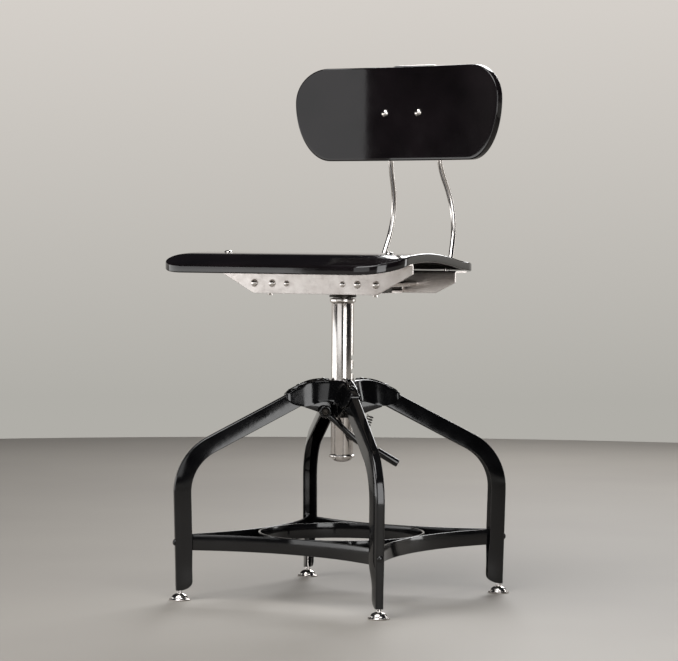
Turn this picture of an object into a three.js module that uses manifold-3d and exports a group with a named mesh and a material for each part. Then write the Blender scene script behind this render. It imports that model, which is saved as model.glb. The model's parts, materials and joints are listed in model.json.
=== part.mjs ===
import * as THREE from 'three';
import { mergeVertices } from 'three/addons/utils/BufferGeometryUtils.js';
import Module from 'manifold-3d';

// Swivel drafting chair on a four-legged pressed steel base.
// Millimetres, +Z up. The seat faces -Y, the legs stand on the diagonals and the
// height post runs up the Z axis; the last lines centre the whole on its footprint.

const wasm = await Module();
wasm.setup();

// ---- driving dimensions -------------------------------------------------

const gap = 0.3;                  // between faces that touch on the real chair
const runningGap = 0.35;          // around shanks and pins in their holes

const postRadius = 15.875;        // 1 1/4 inch tube
const postWall = 2.4;
const postBottom = 201;
const notchPitch = 19.05;         // 3/4 inch between height notches
const notchRadius = 4.6;
const firstNotch = 337;           // highest notch centre
const notchCount = 6;
const latchTurn = THREE.MathUtils.degToRad(32);   // side of the post that the latch works on

const hubTop = 306;
const sheet = 2;                  // pressed steel of the hub and the legs
const hubArmLength = 82;
const hubCoreRadius = 37;
const hubArch = 30;               // the hub's wall is this tall between its arms
const hubWall = [[0, 30], [37, 31], [48, 33], [59, 29.6], [72, 19.2], [79, 11.1], [82, 6]];
const sleeveWall = 3;
const sleeveTall = 53;
const trayWall = 2;               // pressed tray under each leg, on the sleeve
const trayLine = [                // its floor: distance from the post, depth under the hub's top
  [18, 53], [27, 49], [36, 45], [46, 41.5], [55, 38.6],
];

const legSlope = THREE.MathUtils.degToRad(27.5);
const shoulderRadius = 45;        // corner where the leg leaves the flat of the hub
const shoulderBend = 60;
const kneeRadius = 240;           // corner of the leg's outer line
const kneeBend = 85;
const footTaper = 4.7;            // the leg leans in by this much below the knee
const footHeight = 13.6;
const footDepth = 4.5;            // depth of the channel at its lower end
const footRise = 24;              // the channel is full depth above this
const webHalf = 5;
const webCorner = 1.2;
const flangeDepth = 23;
const flangeFlare = 0.24;         // sideways growth per millimetre of depth
const pinchTop = 78;              // the flanges start to close here
const pinchBottom = 38;
const pinchFlare = 0.02;

const ringRadius = 117;           // footrest ring
const bandHeight = 22;
const bandTop = 91.7;
const ringWall = 3;
const strapWall = 2.5;
const strapEntry = [21.6, 5.2];   // the strap's arc ends this far in from its tab and this far aside
const tabRoom = 0.25;             // the channel is wider by this where the tab lies
const rivetRadius = 2.2;
const rivetHeadRadius = 4.4;
const rivetHeadTall = 2.9;
const hubRivetRadius = 63;        // distance of the outer hub rivets from the post

const glideRadius = 15;
const glideDome = 12;
const glideTop = 12.2;
const stemRadius = 3;
const stemTop = 34;

const seatHeight = 472.6;         // underside at the crown of the seat
const seatThickness = 12;
const seatFront = 195;
const seatRear = 170;
const seatHalfFront = 190;
const seatHalfRear = 143;
const seatFrontCorner = 50;
const seatRearCorner = 80;
const seatCurvePoints = [         // distance behind the post and drop of the underside
  [-1, 17.1], [-0.846, 10.6], [-0.667, 3.6], [-0.487, 0.9], [-0.282, 0], [-0.051, 1.8],
  [0.206, 5.7], [0.471, 10.9], [0.765, 14.2], [1, 16.4],
];

const bracketSheet = 2.5;
const bracketPlace = 74;          // outer face of both cross brackets from the post
const flangeReach = 30;
// the brackets' heights are counted down from the crown of the seat's underside
const frontBracket = { top: 2.1, step: 16.6, bottom: 45.6, half: 158, footHalf: 101 };
const rearBracket = { top: 13.4, step: 29.6, bottom: 44.6, half: 140, footHalf: 108 };
const plateWall = 4;
const plateHalf = 56;
const plateTab = 20;
const plateDrop = 45.3;           // underside of the swivel plate
const screwDrop = 31.6;           // row of screws across the front bracket
const screwRadius = 2.6;
const screwHead = 5.3;
const tieScrewHead = 4.2;
const tieScrewPlace = 46;
const socketScrews = [70, 100];
const frontBolts = [[132, 92], [85, 84]];
const rearBolt = [112, 92];
const boltRadius = 3;
const boltHead = 5.75;
const blindDepth = 8;             // the inner front bolts end inside the wood
const washerTall = 3.1;
const washerRadius = 19;
const spindleRadius = 8;
const collarTall = 8.1;

const rodRadius = 3.97;           // 5/16 inch rod
const rodFrontPlace = 87.5;
const rodFrontEnd = -62;
const rodTurnPlace = [61.4, 186.5];
const rodTurnBend = 24;
const rodBow = [50.8, 228.5, 70.2];  // corner behind the seat, and its height over the crown
const rodBowBend = 105;
const rodNeckDrop = 5.5;          // corner under the back, below the panel
const rodNeckBend = 110;
const rodTopHalf = 41;
const rodUpright = 193;           // distance of the upright run behind the post
const rodTopBend = 12;
const socketBelow = 11;           // around the row of screws
const socketAbove = 10;
const setScrewPlace = 17;         // behind the front of the socket
const setScrewHead = 4;
const socketInner = 63;
const socketOuter = 108;
const socketDepth = 28;

const panelHalf = 170.4;
const panelRise = 280.1;          // top of the back over the seat's crown
const panelTall = 135.7;
const panelShoulder = 49.7;       // the widest point is this far below the top
const panelFace = 156;            // front face at the middle, behind the post
const panelThickness = 11;
const panelBend = 700;            // radius of the hollow front face
const panelTopCorner = 50;
const panelSideCorner = 53;
const clampDrop = 66.7;           // below the top of the back
const clampHalf = 52;
const clampTall = 10;
const clampPlateWall = 3;
const clampScrewPlace = 28;
const clampScrewRadius = 2.5;
const clampScrewHead = 5.6;

const leverRoom = 8.625;          // from the post's face to the middle plane of the lever
const leverRodRadius = 3.9;
const leverEye = 8.6;
const leverEyeHalf = 3.4;
const leverDrop = 44;             // pivot below the hub's top
const leverReach = 7.125;         // pivot outside the post's face, seen from the front
const leverCorners = [[-2.625, -48.8], [21, -85], [47, -97.4], [70, -111]];
const leverBend = 30;
const pivotRadius = 2.6;
const pivotHead = 4.8;
const lugHalf = [5, 8];
const handleRadius = 5.4;
const handleStart = 2.5;          // along the last straight of the lever
const handleEnd = 36.7;
const pawlRoom = 6.725;           // from the post's face to the middle of the pawl bar
const pawlDrop = 82.9;
const pawlRadius = 3.9;
const springCoil = 4.2;
const springWire = 0.65;
const springTurns = 9;
const springTopEnd = [40, -9, -50];       // heights are under the hub's top
const springLowEnd = [29.5, -24.5, -80.8];

// ---- places that follow from them ----------------------------------------

const footRadius = kneeRadius - footTaper;
const legStart = postRadius + runningGap + sleeveWall + 4 * gap;
const plateLow = seatHeight - plateDrop;
const washerLow = plateLow - washerTall - plateWall / 2 - 2 * gap;
const postTop = washerLow - collarTall - gap;
const screwHeight = seatHeight - screwDrop;
const socketLow = screwHeight - socketBelow;
const socketHigh = screwHeight + socketAbove;
const panelTop = seatHeight + panelRise;
const panelBottom = panelTop - panelTall;
const shoulderHeight = panelTop - panelShoulder;
const clampHeight = panelTop - clampDrop;
const rodTop = panelTop + gap;
const leverPlane = postRadius + leverRoom;

// ---- finishes -------------------------------------------------------------

const finishes = {
  enamel: { color: 0x0b0b0d, roughness: 0.16, metalness: 0.0 },
  lacquer: { color: 0x0d0c0e, roughness: 0.12, metalness: 0.0 },
  nickel: { color: 0xc9c5bf, roughness: 0.2, metalness: 1.0 },
  satin: { color: 0xbfb9b3, roughness: 0.38, metalness: 1.0 },
  steel: { color: 0x2a292b, roughness: 0.35, metalness: 0.9 },
};

const chair = new THREE.Group();

function place(name, geometry, finish, parent = chair) {
  const mesh = new THREE.Mesh(geometry, new THREE.MeshStandardMaterial(finishes[finish]));
  mesh.name = name;
  parent.add(mesh);
  return mesh;
}

// ---- solid helpers ----------------------------------------------------------

function closedSolid(geometry) {
  const bare = geometry.clone();
  bare.deleteAttribute('normal');
  bare.deleteAttribute('uv');
  const merged = mergeVertices(bare, 1e-4);
  const mesh = new wasm.Mesh({
    numProp: 3,
    vertProperties: new Float32Array(merged.attributes.position.array),
    triVerts: new Uint32Array(merged.index.array),
  });
  return new wasm.Manifold(mesh);
}

function asGeometry(manifold) {
  const mesh = manifold.getMesh();
  const geometry = new THREE.BufferGeometry();
  geometry.setAttribute('position', new THREE.BufferAttribute(mesh.vertProperties, 3));
  geometry.setIndex(new THREE.BufferAttribute(mesh.triVerts, 1));
  geometry.computeVertexNormals();
  return geometry;
}

function joined(...geometries) {
  return asGeometry(geometries.map(closedSolid).reduce((all, one) => all.add(one)));
}

function cutBy(geometry, ...tools) {
  const whole = closedSolid(geometry);
  return asGeometry(tools.map(closedSolid).reduce((rest, tool) => rest.subtract(tool), whole));
}

function common(a, b) {
  return asGeometry(closedSolid(a).intersect(closedSolid(b)));
}

// Closed skin over a row of equal rings of points; the end rings are filled.
function loft(rings) {
  const count = rings[0].length;
  const points = rings.flat();
  const faces = [];
  for (let ring = 0; ring < rings.length - 1; ring += 1) {
    for (let i = 0; i < count; i += 1) {
      const a = ring * count + i;
      const b = ring * count + (i + 1) % count;
      faces.push(a, b, b + count, a, b + count, a + count);
    }
  }
  const axis = rings.at(-1)[0].clone().sub(rings[0][0]);
  const side = new THREE.Vector3(0, 1, 0);
  const up = new THREE.Vector3().crossVectors(axis, side).normalize();
  const flat = rings[0].map((p) => new THREE.Vector2(p.dot(side), p.dot(up)));
  const start = (rings.length - 1) * count;
  const turnsBack = THREE.ShapeUtils.isClockWise(flat);
  for (const [a, b, c] of THREE.ShapeUtils.triangulateShape(flat, [])) {
    const [second, third] = turnsBack ? [c, b] : [b, c];
    faces.push(a, third, second);
    faces.push(start + a, start + second, start + third);
  }
  const geometry = new THREE.BufferGeometry();
  geometry.setAttribute('position', new THREE.Float32BufferAttribute(points.flatMap((p) => p.toArray()), 3));
  geometry.setIndex(faces);
  const solid = closedSolid(geometry);
  if (solid.volume() >= 0) {
    return geometry;
  }
  for (let i = 0; i < faces.length; i += 3) {
    [faces[i + 1], faces[i + 2]] = [faces[i + 2], faces[i + 1]];
  }
  geometry.setIndex(faces);
  return geometry;
}

// Points along straight runs whose corners are rounded; a corner is [point, bend radius].
function roundedRun(corners, arcSteps) {
  const points = [corners[0][0].clone()];
  for (let i = 1; i < corners.length - 1; i += 1) {
    const [corner, bend] = corners[i];
    const back = corners[i - 1][0].clone().sub(corner).normalize();
    const ahead = corners[i + 1][0].clone().sub(corner).normalize();
    const halfTurn = (Math.PI - back.angleTo(ahead)) / 2;
    const reach = bend * Math.tan(halfTurn);
    const middle = back.clone().add(ahead).normalize().multiplyScalar(bend / Math.cos(halfTurn)).add(corner);
    const from = back.clone().multiplyScalar(reach).add(corner).sub(middle);
    const to = ahead.clone().multiplyScalar(reach).add(corner).sub(middle);
    for (let step = 0; step <= arcSteps; step += 1) {
      const turn = (2 * halfTurn * step) / arcSteps;
      const a = Math.sin(2 * halfTurn - turn) / Math.sin(2 * halfTurn);
      const b = Math.sin(turn) / Math.sin(2 * halfTurn);
      points.push(from.clone().multiplyScalar(a).add(to.clone().multiplyScalar(b)).add(middle));
    }
  }
  points.push(corners.at(-1)[0].clone());
  return points;
}

// A curve that visits the given points in turn, one step for each.
class Route extends THREE.Curve {
  constructor(points) {
    super();
    this.points = points;
  }

  getPoint(t, target = new THREE.Vector3()) {
    const place = t * (this.points.length - 1);
    const i = Math.min(Math.floor(place + 1e-9), this.points.length - 2);
    return target.lerpVectors(this.points[i], this.points[i + 1], place - i);
  }

  getPointAt(t, target) {
    return this.getPoint(t, target);
  }

  getTangentAt(t, target = new THREE.Vector3()) {
    const i = Math.round(t * (this.points.length - 1));
    const before = this.points[Math.max(i - 1, 0)];
    const after = this.points[Math.min(i + 1, this.points.length - 1)];
    return target.subVectors(after, before).normalize();
  }
}

function circleShape(radius, sides) {
  const corners = [];
  for (let i = 0; i < sides; i += 1) {
    const turn = (2 * Math.PI * i) / sides;
    corners.push(new THREE.Vector2(radius * Math.cos(turn), radius * Math.sin(turn)));
  }
  return new THREE.Shape(corners);
}

function rod(points, radius, sides = 10) {
  const route = new Route(points);
  const settings = { steps: points.length - 1, bevelEnabled: false, extrudePath: route };
  return new THREE.ExtrudeGeometry(circleShape(radius, sides), settings);
}

// Turned piece about +Z from [radius, height] points that start and end on the axis or close.
function turned(profile, segments = 24) {
  const points = profile.map(([r, z]) => new THREE.Vector2(r, z));
  return new THREE.LatheGeometry(points, segments).rotateX(Math.PI / 2);
}

function pin(radius, low, high, segments = 20) {
  return turned([[0, low], [radius, low], [radius, high], [0, high]], segments);
}

function tube(inner, outer, low, high, segments = 32) {
  return turned([[inner, low], [outer, low], [outer, high], [inner, high], [inner, low]], segments);
}

// Pin from one point to another.
function barrel(from, to, radius, sides = 16) {
  return rod([new THREE.Vector3(...from), new THREE.Vector3(...to)], radius, sides);
}

function block(low, high) {
  const size = high.map((value, i) => value - low[i]);
  const box = new THREE.BoxGeometry(...size);
  return box.translate(...low.map((value, i) => value + size[i] / 2));
}

function prism(outline, depth, segments = 8) {
  const shape = outline instanceof THREE.Shape ? outline : new THREE.Shape(outline);
  return new THREE.ExtrudeGeometry(shape, { depth, bevelEnabled: false, curveSegments: segments });
}

// Plate that stands across the chair: its outline is drawn in X and Z.
function uprightPlate(outline, nearFace, thickness, segments) {
  return prism(outline, thickness, segments).rotateX(Math.PI / 2).translate(0, nearFace + thickness, 0);
}

// ---- legs and hub -------------------------------------------------------------

const legLine = hubTop - sheet - gap;     // outer line of the leg under the flat of the hub
const kneeHeight = legLine - Math.tan(legSlope) * (kneeRadius - shoulderRadius);
const legTurns = {
  front_right: -Math.PI / 4,
  rear_right: Math.PI / 4,
  rear_left: (3 * Math.PI) / 4,
  front_left: (-3 * Math.PI) / 4,
};

// Outer line of a leg in its own plane: X is the distance from the post.
function legRun() {
  const corners = [
    [new THREE.Vector3(legStart, 0, legLine), 0],
    [new THREE.Vector3(shoulderRadius, 0, legLine), shoulderBend],
    [new THREE.Vector3(kneeRadius, 0, kneeHeight), kneeBend],
    [new THREE.Vector3(footRadius, 0, footHeight), 0],
  ];
  const run = roundedRun(corners, 6);
  const foot = run.pop();
  const last = run.at(-1);
  const pinchMiddle = (pinchTop + pinchBottom) / 2;
  for (const height of [pinchTop, pinchMiddle, pinchBottom, footRise, (footRise + footHeight) / 2]) {
    const share = (last.z - height) / (last.z - foot.z);
    run.push(last.clone().lerp(foot, share));
  }
  run.push(foot);
  return run;
}

// Height over the top of a leg at a distance from the post, lifted square to its surface.
function lineAt(radius, lift = 0) {
  const start = shoulderRadius - shoulderBend * Math.tan(legSlope / 2);
  const bend = shoulderBend + lift;
  if (radius <= start) {
    return legLine + lift;
  }
  if (radius < start + bend * Math.sin(legSlope)) {
    return legLine - shoulderBend + Math.sqrt(bend ** 2 - (radius - start) ** 2);
  }
  return kneeHeight + Math.tan(legSlope) * (kneeRadius - radius) + lift / Math.cos(legSlope);
}

function outerLineAtHeight(height) {
  return kneeRadius + (footRadius - kneeRadius) * ((kneeHeight - height) / (kneeHeight - footHeight));
}

// How deep and how flared the channel is at a height near the floor.
function channelAt(height) {
  const closing = THREE.MathUtils.clamp((pinchTop - height) / (pinchTop - pinchBottom), 0, 1);
  const flare = flangeFlare * (1 - closing) + pinchFlare * closing;
  const rise = THREE.MathUtils.clamp((height - footHeight) / (footRise - footHeight), 0, 1);
  const depth = footDepth + (flangeDepth - footDepth) * Math.sqrt(1 - (1 - rise) ** 2);
  return { flare, depth };
}

function legShape() {
  const run = legRun();
  const rings = run.map((point, i) => {
    const before = run[Math.max(i - 1, 0)];
    const after = run[Math.min(i + 1, run.length - 1)];
    const along = after.clone().sub(before).normalize();
    const inward = new THREE.Vector3(along.z, 0, -along.x);
    const { flare, depth } = channelAt(point.z);
    const open = webHalf + flare * depth;
    const half = [
      [webHalf - webCorner, 0],
      [webHalf + flare * webCorner, webCorner],
      [open, depth],
      [open - sheet, depth],
      [webHalf - sheet + flare * sheet, sheet],
    ];
    const mirrored = half.map(([y, d]) => [-y, d]).reverse();
    return [...half, ...mirrored].map(([y, d]) => {
      return point.clone().addScaledVector(inward, d).add(new THREE.Vector3(0, y, 0));
    });
  });
  return loft(rings);
}

// Rivets through the hub and a leg, square to the sloping top.
const hubRivetPoint = new THREE.Vector3(hubRivetRadius, 0, lineAt(hubRivetRadius));
const slopeNormal = new THREE.Vector3(Math.sin(legSlope), 0, Math.cos(legSlope));
const strapRivetHeight = bandTop - bandHeight / 2;
const strapRivetPlace = outerLineAtHeight(strapRivetHeight);

function hubRivetHole() {
  const low = hubRivetPoint.clone().addScaledVector(slopeNormal, -8);
  const high = hubRivetPoint.clone().addScaledVector(slopeNormal, 8);
  return barrel(low.toArray(), high.toArray(), rivetRadius + runningGap);
}

function strapRivetHole() {
  const from = [strapRivetPlace - 12, 0, strapRivetHeight];
  return barrel(from, [strapRivetPlace + 6, 0, strapRivetHeight], rivetRadius + runningGap);
}

function addLegs() {
  const shape = cutBy(legShape(), hubRivetHole(), strapRivetHole());
  for (const [corner, turn] of Object.entries(legTurns)) {
    place(`leg_${corner}`, shape, 'enamel').rotation.z = turn;
  }
}

// How tall the hub's wall is at a distance from the post.
function wallAt(radius, line) {
  const next = Math.max(line.findIndex(([r]) => r >= radius), 1);
  const [[r0, tall0], [r1, tall1]] = [line[next - 1], line[next]];
  return tall0 + ((tall1 - tall0) * (radius - r0)) / (r1 - r0);
}

// One arm of the hub as a solid bar over its leg; inset draws the space inside it.
function hubArm(inset) {
  const cavityDrop = inset ? 14 : 0;
  const radii = [...hubWall.map(([radius]) => radius), 30, 43, 53, 65].sort((a, b) => a - b);
  const stations = radii.map((radius) => {
    return [radius, lineAt(radius, sheet + gap) - wallAt(radius, hubWall) - cavityDrop];
  });
  if (inset) {
    stations.push([hubArmLength + 8, stations.at(-1)[1] - cavityDrop]);
  }
  const topHalf = webHalf + flangeFlare * webCorner + gap + sheet - inset;
  const rings = stations.map(([radius, low]) => {
    const high = lineAt(radius, sheet + gap - inset);
    const flat = topHalf - webCorner;
    const foot = topHalf + flangeFlare * (high - low);
    const half = [[flat, high], [topHalf, high - 1], [foot, low]];
    const ring = [...half, ...half.map(([y, z]) => [-y, z]).reverse()];
    return ring.map(([y, z]) => new THREE.Vector3(radius, y, z));
  });
  return loft(rings);
}

function hubBody(inset) {
  const coreTop = hubTop - inset;
  const coreRadius = hubCoreRadius - inset;
  const archHeight = hubTop - hubArch;
  const low = inset ? archHeight - 20 : archHeight;
  const core = turned([
    [0, low], [coreRadius, low], [coreRadius, archHeight + 14], [coreRadius - 1.5, coreTop - 5],
    [coreRadius - 6, coreTop], [0, coreTop],
  ], 24);
  const arms = Object.values(legTurns).map((turn) => hubArm(inset).rotateZ(turn));
  return joined(core, ...arms);
}

// Shallow tray under a leg, its walls just short of the leg's flanges.
const trayHalf = webHalf + flangeFlare * flangeDepth + 0.4;

function tray(turn) {
  const rings = trayLine.map(([radius, drop]) => {
    const low = hubTop - drop;
    const high = lineAt(radius, -flangeDepth) - 4 * gap;
    const inner = trayHalf - trayWall;
    const half = [[trayHalf, low], [trayHalf, high], [inner, high], [inner, low + trayWall]];
    const ring = [...half, ...half.map(([y, z]) => [-y, z]).reverse()];
    return ring.map(([y, z]) => new THREE.Vector3(radius, y, z));
  });
  return loft(rings).rotateZ(turn);
}

function addHub() {
  const holes = Object.values(legTurns).map((turn) => hubRivetHole().rotateZ(turn));
  const bore = pin(postRadius + 0.6, hubTop - 20, hubTop + 5, 40);
  const shell = cutBy(hubBody(0), hubBody(sheet), bore, ...holes);
  place('hub_shell', shell, 'enamel');
  const sleeveBore = postRadius + runningGap;
  const sleeve = tube(sleeveBore, sleeveBore + sleeveWall, hubTop - sleeveTall, hubTop - sheet - gap);
  const trays = Object.values(legTurns).map(tray);
  const clearBore = pin(sleeveBore + 0.1, hubTop - 70, hubTop, 32);
  place('hub_sleeve', joined(sleeve, ...trays.map((one) => cutBy(one, clearBore))), 'enamel');
}

// Round-headed rivet along +Z, its head on zero.
function rivet(length, headRadius = rivetHeadRadius) {
  const dome = [];
  const steps = 3;
  for (let i = 0; i < steps; i += 1) {
    const turn = (Math.PI / 2) * (i / steps);
    dome.push([headRadius * Math.cos(turn), gap + rivetHeadTall * Math.sin(turn)]);
  }
  dome.push([0, gap + rivetHeadTall]);
  return turned([[0, -length], [rivetRadius, -length], [rivetRadius, gap], ...dome], 10);
}

function addRivets() {
  for (const [corner, turn] of Object.entries(legTurns)) {
    const frame = new THREE.Group();
    frame.rotation.z = turn;
    chair.add(frame);
    const top = hubRivetPoint.clone().addScaledVector(slopeNormal, sheet + gap);
    const hubRivet = place(`hub_rivet_${corner}`, rivet(2 * sheet + gap), 'enamel', frame);
    hubRivet.position.copy(top);
    hubRivet.rotation.y = legSlope;
    const strapRivet = place(`strap_rivet_${corner}`, rivet(sheet + strapWall), 'enamel', frame);
    strapRivet.position.set(strapRivetPlace + 0.1, 0, strapRivetHeight);
    strapRivet.rotation.y = Math.PI / 2;
  }
}

// ---- footrest -------------------------------------------------------------------

// Flat strip standing on edge, drawn as an outline around its middle line.
function strip(line, thickness) {
  const sides = [1, -1].map((sign) => line.map((point, i) => {
    const before = line[Math.max(i - 1, 0)];
    const after = line[Math.min(i + 1, line.length - 1)];
    const into = point.clone().sub(before).normalize();
    const out = after.clone().sub(point).normalize();
    const along = into.clone().add(out).normalize();
    const across = new THREE.Vector2(-along.y, along.x);
    const known = into.lengthSq() > 0 ? into : out;
    const miter = Math.max(Math.abs(along.dot(known)), 0.5);
    return point.clone().addScaledVector(across, (sign * thickness) / 2 / miter);
  }));
  return [...sides[0], ...sides[1].reverse()];
}

function strapShape() {
  const halfRoot = Math.SQRT1_2;
  const nearLeg = (radius, side) => new THREE.Vector2((radius - side) * halfRoot, (radius + side) * halfRoot);
  const tabPlace = outerLineAtHeight(bandTop - bandHeight) - sheet - gap - strapWall / 2;
  const tabSide = webHalf - sheet - gap - strapWall / 2 + tabRoom;
  const entry = nearLeg(tabPlace - strapEntry[0], -strapEntry[1]);
  const middle = ringRadius + gap + strapWall / 2;
  const rise = entry.x - middle;
  const bend = (entry.y ** 2 + rise ** 2) / (2 * rise);
  const sweep = Math.asin(entry.y / bend);
  const line = [];
  const steps = 10;
  for (let i = 0; i <= steps; i += 1) {
    const turn = sweep * ((2 * i) / steps - 1);
    line.push(new THREE.Vector2(middle + bend * (1 - Math.cos(turn)), bend * Math.sin(turn)));
  }
  const buttEnd = nearLeg(tabPlace - strapWall / 2 - gap, -tabSide);
  line.unshift(new THREE.Vector2(buttEnd.x, -buttEnd.y));
  line.push(nearLeg(tabPlace, -tabSide), nearLeg(tabPlace, tabSide + strapWall / 2));
  return prism(strip(line, strapWall), bandHeight).translate(0, 0, bandTop - bandHeight);
}

function addFootrest() {
  const ring = tube(ringRadius - ringWall, ringRadius, bandTop - bandHeight, bandTop, 56);
  place('footrest_ring', ring, 'enamel');
  const hole = strapRivetHole().rotateZ(Math.PI / 4);
  const shape = cutBy(strapShape(), hole);
  const names = ['right', 'rear', 'left', 'front'];
  names.forEach((side, i) => {
    place(`strap_${side}`, shape, 'enamel').rotation.z = (i * Math.PI) / 2;
  });
}

function addGlides() {
  const centre = footRadius - sheet - gap - stemRadius;
  const shape = turned([
    [0, 0], [glideRadius, 0], [glideRadius, 2], [glideDome, 3.4], [glideDome - 1, 6.2],
    [glideDome - 4.6, 9.2], [4.2, glideTop], [stemRadius, glideTop], [stemRadius, stemTop], [0, stemTop],
  ], 16);
  for (const [corner, turn] of Object.entries(legTurns)) {
    const glide = place(`glide_${corner}`, shape, 'nickel');
    glide.position.set(centre * Math.cos(turn), centre * Math.sin(turn), 0);
  }
}

// ---- height post and swivel -------------------------------------------------------

const postBore = postRadius - postWall;

function addPost() {
  const body = tube(postBore, postRadius, postBottom, postTop, 36);
  const notches = [];
  for (let i = 0; i < notchCount; i += 1) {
    const height = firstNotch - i * notchPitch;
    const edge = postRadius + 0.6;
    notches.push(barrel([edge, -14, height], [edge, 14, height], notchRadius, 12).rotateZ(latchTurn));
  }
  place('post_tube', cutBy(body, ...notches), 'nickel');
  const plug = postBore - gap;
  place('post_collar', turned([
    [spindleRadius + runningGap, postTop - 26], [plug, postTop - 26], [plug, postTop + gap],
    [postRadius + 0.4, postTop + gap], [postRadius + 2.6, postTop + 2.6], [postRadius + 2.6, postTop + 5.2],
    [postRadius + 0.8, postTop + 6.9], [14.2, postTop + 6.9], [14.2, postTop + collarTall],
    [spindleRadius + runningGap, postTop + collarTall], [spindleRadius + runningGap, postTop - 26],
  ], 28), 'nickel');
  place('post_foot', turned([
    [0, postBottom - 11.4], [9, postBottom - 9.8], [14.6, postBottom - 4.6], [18, postBottom - 4.4],
    [18, postBottom - 1.4], [16.8, postBottom - gap], [plug, postBottom - gap], [plug, postBottom + 16],
    [0, postBottom + 16],
  ], 28), 'nickel');
}

function addSwivel() {
  const washer = tube(spindleRadius + runningGap, washerRadius, washerLow, washerLow + washerTall, 24);
  place('thrust_washer', washer, 'steel');
  const shoulder = washerLow + washerTall + gap;
  const plateTop = plateLow + plateWall;
  place('swivel_spindle', turned([
    [0, postTop - 64], [postBore - 0.6, postTop - 64], [postBore - 0.6, postTop - 58],
    [spindleRadius, postTop - 58], [spindleRadius, shoulder], [15, shoulder], [15, plateLow - gap],
    [spindleRadius, plateLow - gap], [spindleRadius, plateTop + gap], [13, plateTop + gap],
    [13, plateTop + 8.5], [0, plateTop + 8.5],
  ], 16), 'satin');
  addPlate();
}

const tabFace = bracketPlace - bracketSheet - gap;

function addPlate() {
  const plate = block([-plateHalf, -tabFace, plateLow], [plateHalf, tabFace, plateLow + plateWall]);
  const tabs = [-1, 1].map((side) => {
    const faces = [side * tabFace, side * (tabFace - bracketSheet)].sort((a, b) => a - b);
    return block([-plateHalf, faces[0], plateLow], [plateHalf, faces[1], plateLow + plateTab]);
  });
  const bore = pin(spindleRadius + runningGap, plateLow - 5, plateLow + 10, 32);
  const holes = [-1, 1].map((side) => screwHole(side * tieScrewPlace));
  place('swivel_plate', cutBy(joined(plate, ...tabs), bore, ...holes), 'satin');
}

// ---- seat and its brackets ----------------------------------------------------------

function screwHole(across) {
  const near = -bracketPlace - 5;
  const far = -bracketPlace + 18;
  return barrel([across, near, screwHeight], [across, far, screwHeight], screwRadius + runningGap);
}

function bracketOutline({ top, step, bottom, half, footHalf }) {
  const rightHalf = [[footHalf, bottom], [half, step], [half, top]];
  const corners = [...rightHalf, ...rightHalf.map(([x, drop]) => [-x, drop]).reverse()];
  return corners.map(([x, drop]) => new THREE.Vector2(x, seatHeight - drop));
}

// Height of the seat's underside: a crown over the front bracket, a lip that falls
// away in front and a long shallow hollow behind.
const seatCurve = new THREE.CatmullRomCurve3(seatCurvePoints.map(([share, drop]) => {
  const place = share * (share < 0 ? seatFront : seatRear);
  return new THREE.Vector3(0, place, seatHeight - drop);
}));

function seatUnderAt(place) {
  const points = seatCurve.getPoints(200);
  const next = Math.max(points.findIndex((point) => point.y >= place), 1);
  const [a, b] = [points[next - 1], points[next]];
  return a.z + ((b.z - a.z) * (place - a.y)) / (b.y - a.y);
}

function seatPlan() {
  const sideways = seatHalfFront - seatHalfRear;
  const length = seatFront + seatRear - seatFrontCorner;
  const lean = Math.atan2(sideways, length);
  const plan = new THREE.Shape();
  const rearMiddle = seatHalfRear - seatRearCorner * Math.cos(lean);
  plan.moveTo(0, -seatFront);
  plan.absarc(seatHalfFront - seatFrontCorner, -seatFront + seatFrontCorner, seatFrontCorner,
    -Math.PI / 2, lean);
  plan.absarc(rearMiddle, seatRear - seatRearCorner, seatRearCorner, lean, Math.PI / 2);
  plan.absarc(-rearMiddle, seatRear - seatRearCorner, seatRearCorner, Math.PI / 2, Math.PI - lean);
  plan.absarc(-seatHalfFront + seatFrontCorner, -seatFront + seatFrontCorner, seatFrontCorner,
    Math.PI - lean, (3 * Math.PI) / 2);
  return plan;
}

function addSeat() {
  const under = seatCurve.getPoints(27).map((point) => new THREE.Vector2(point.y, point.z));
  const over = under.map((point) => new THREE.Vector2(point.x, point.y + seatThickness)).reverse();
  const slab = prism([...under, ...over], 2 * seatHalfFront + 20);
  slab.applyMatrix4(new THREE.Matrix4().makeBasis(
    new THREE.Vector3(0, 1, 0), new THREE.Vector3(0, 0, 1), new THREE.Vector3(1, 0, 0),
  )).translate(-seatHalfFront - 10, 0, 0);
  const plan = prism(seatPlan(), 80, 7).translate(0, 0, seatHeight - 40);
  const holes = boltPlaces().map(([x, y, blind]) => {
    const high = blind ? seatUnderAt(y) + blindDepth + runningGap : seatHeight + 40;
    return pin(boltRadius + runningGap, seatHeight - 40, high, 14).translate(x, y, 0);
  });
  place('seat_panel', cutBy(common(slab, plan), ...holes), 'lacquer');
}

function boltPlaces() {
  const [outer, inner] = frontBolts.map(([x, y]) => [x, -y]);
  const kinds = [[...outer, false], [...inner, true], [...rearBolt, false]];
  return kinds.flatMap(([x, y, blind]) => [[x, y, blind], [-x, y, blind]]);
}

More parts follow.
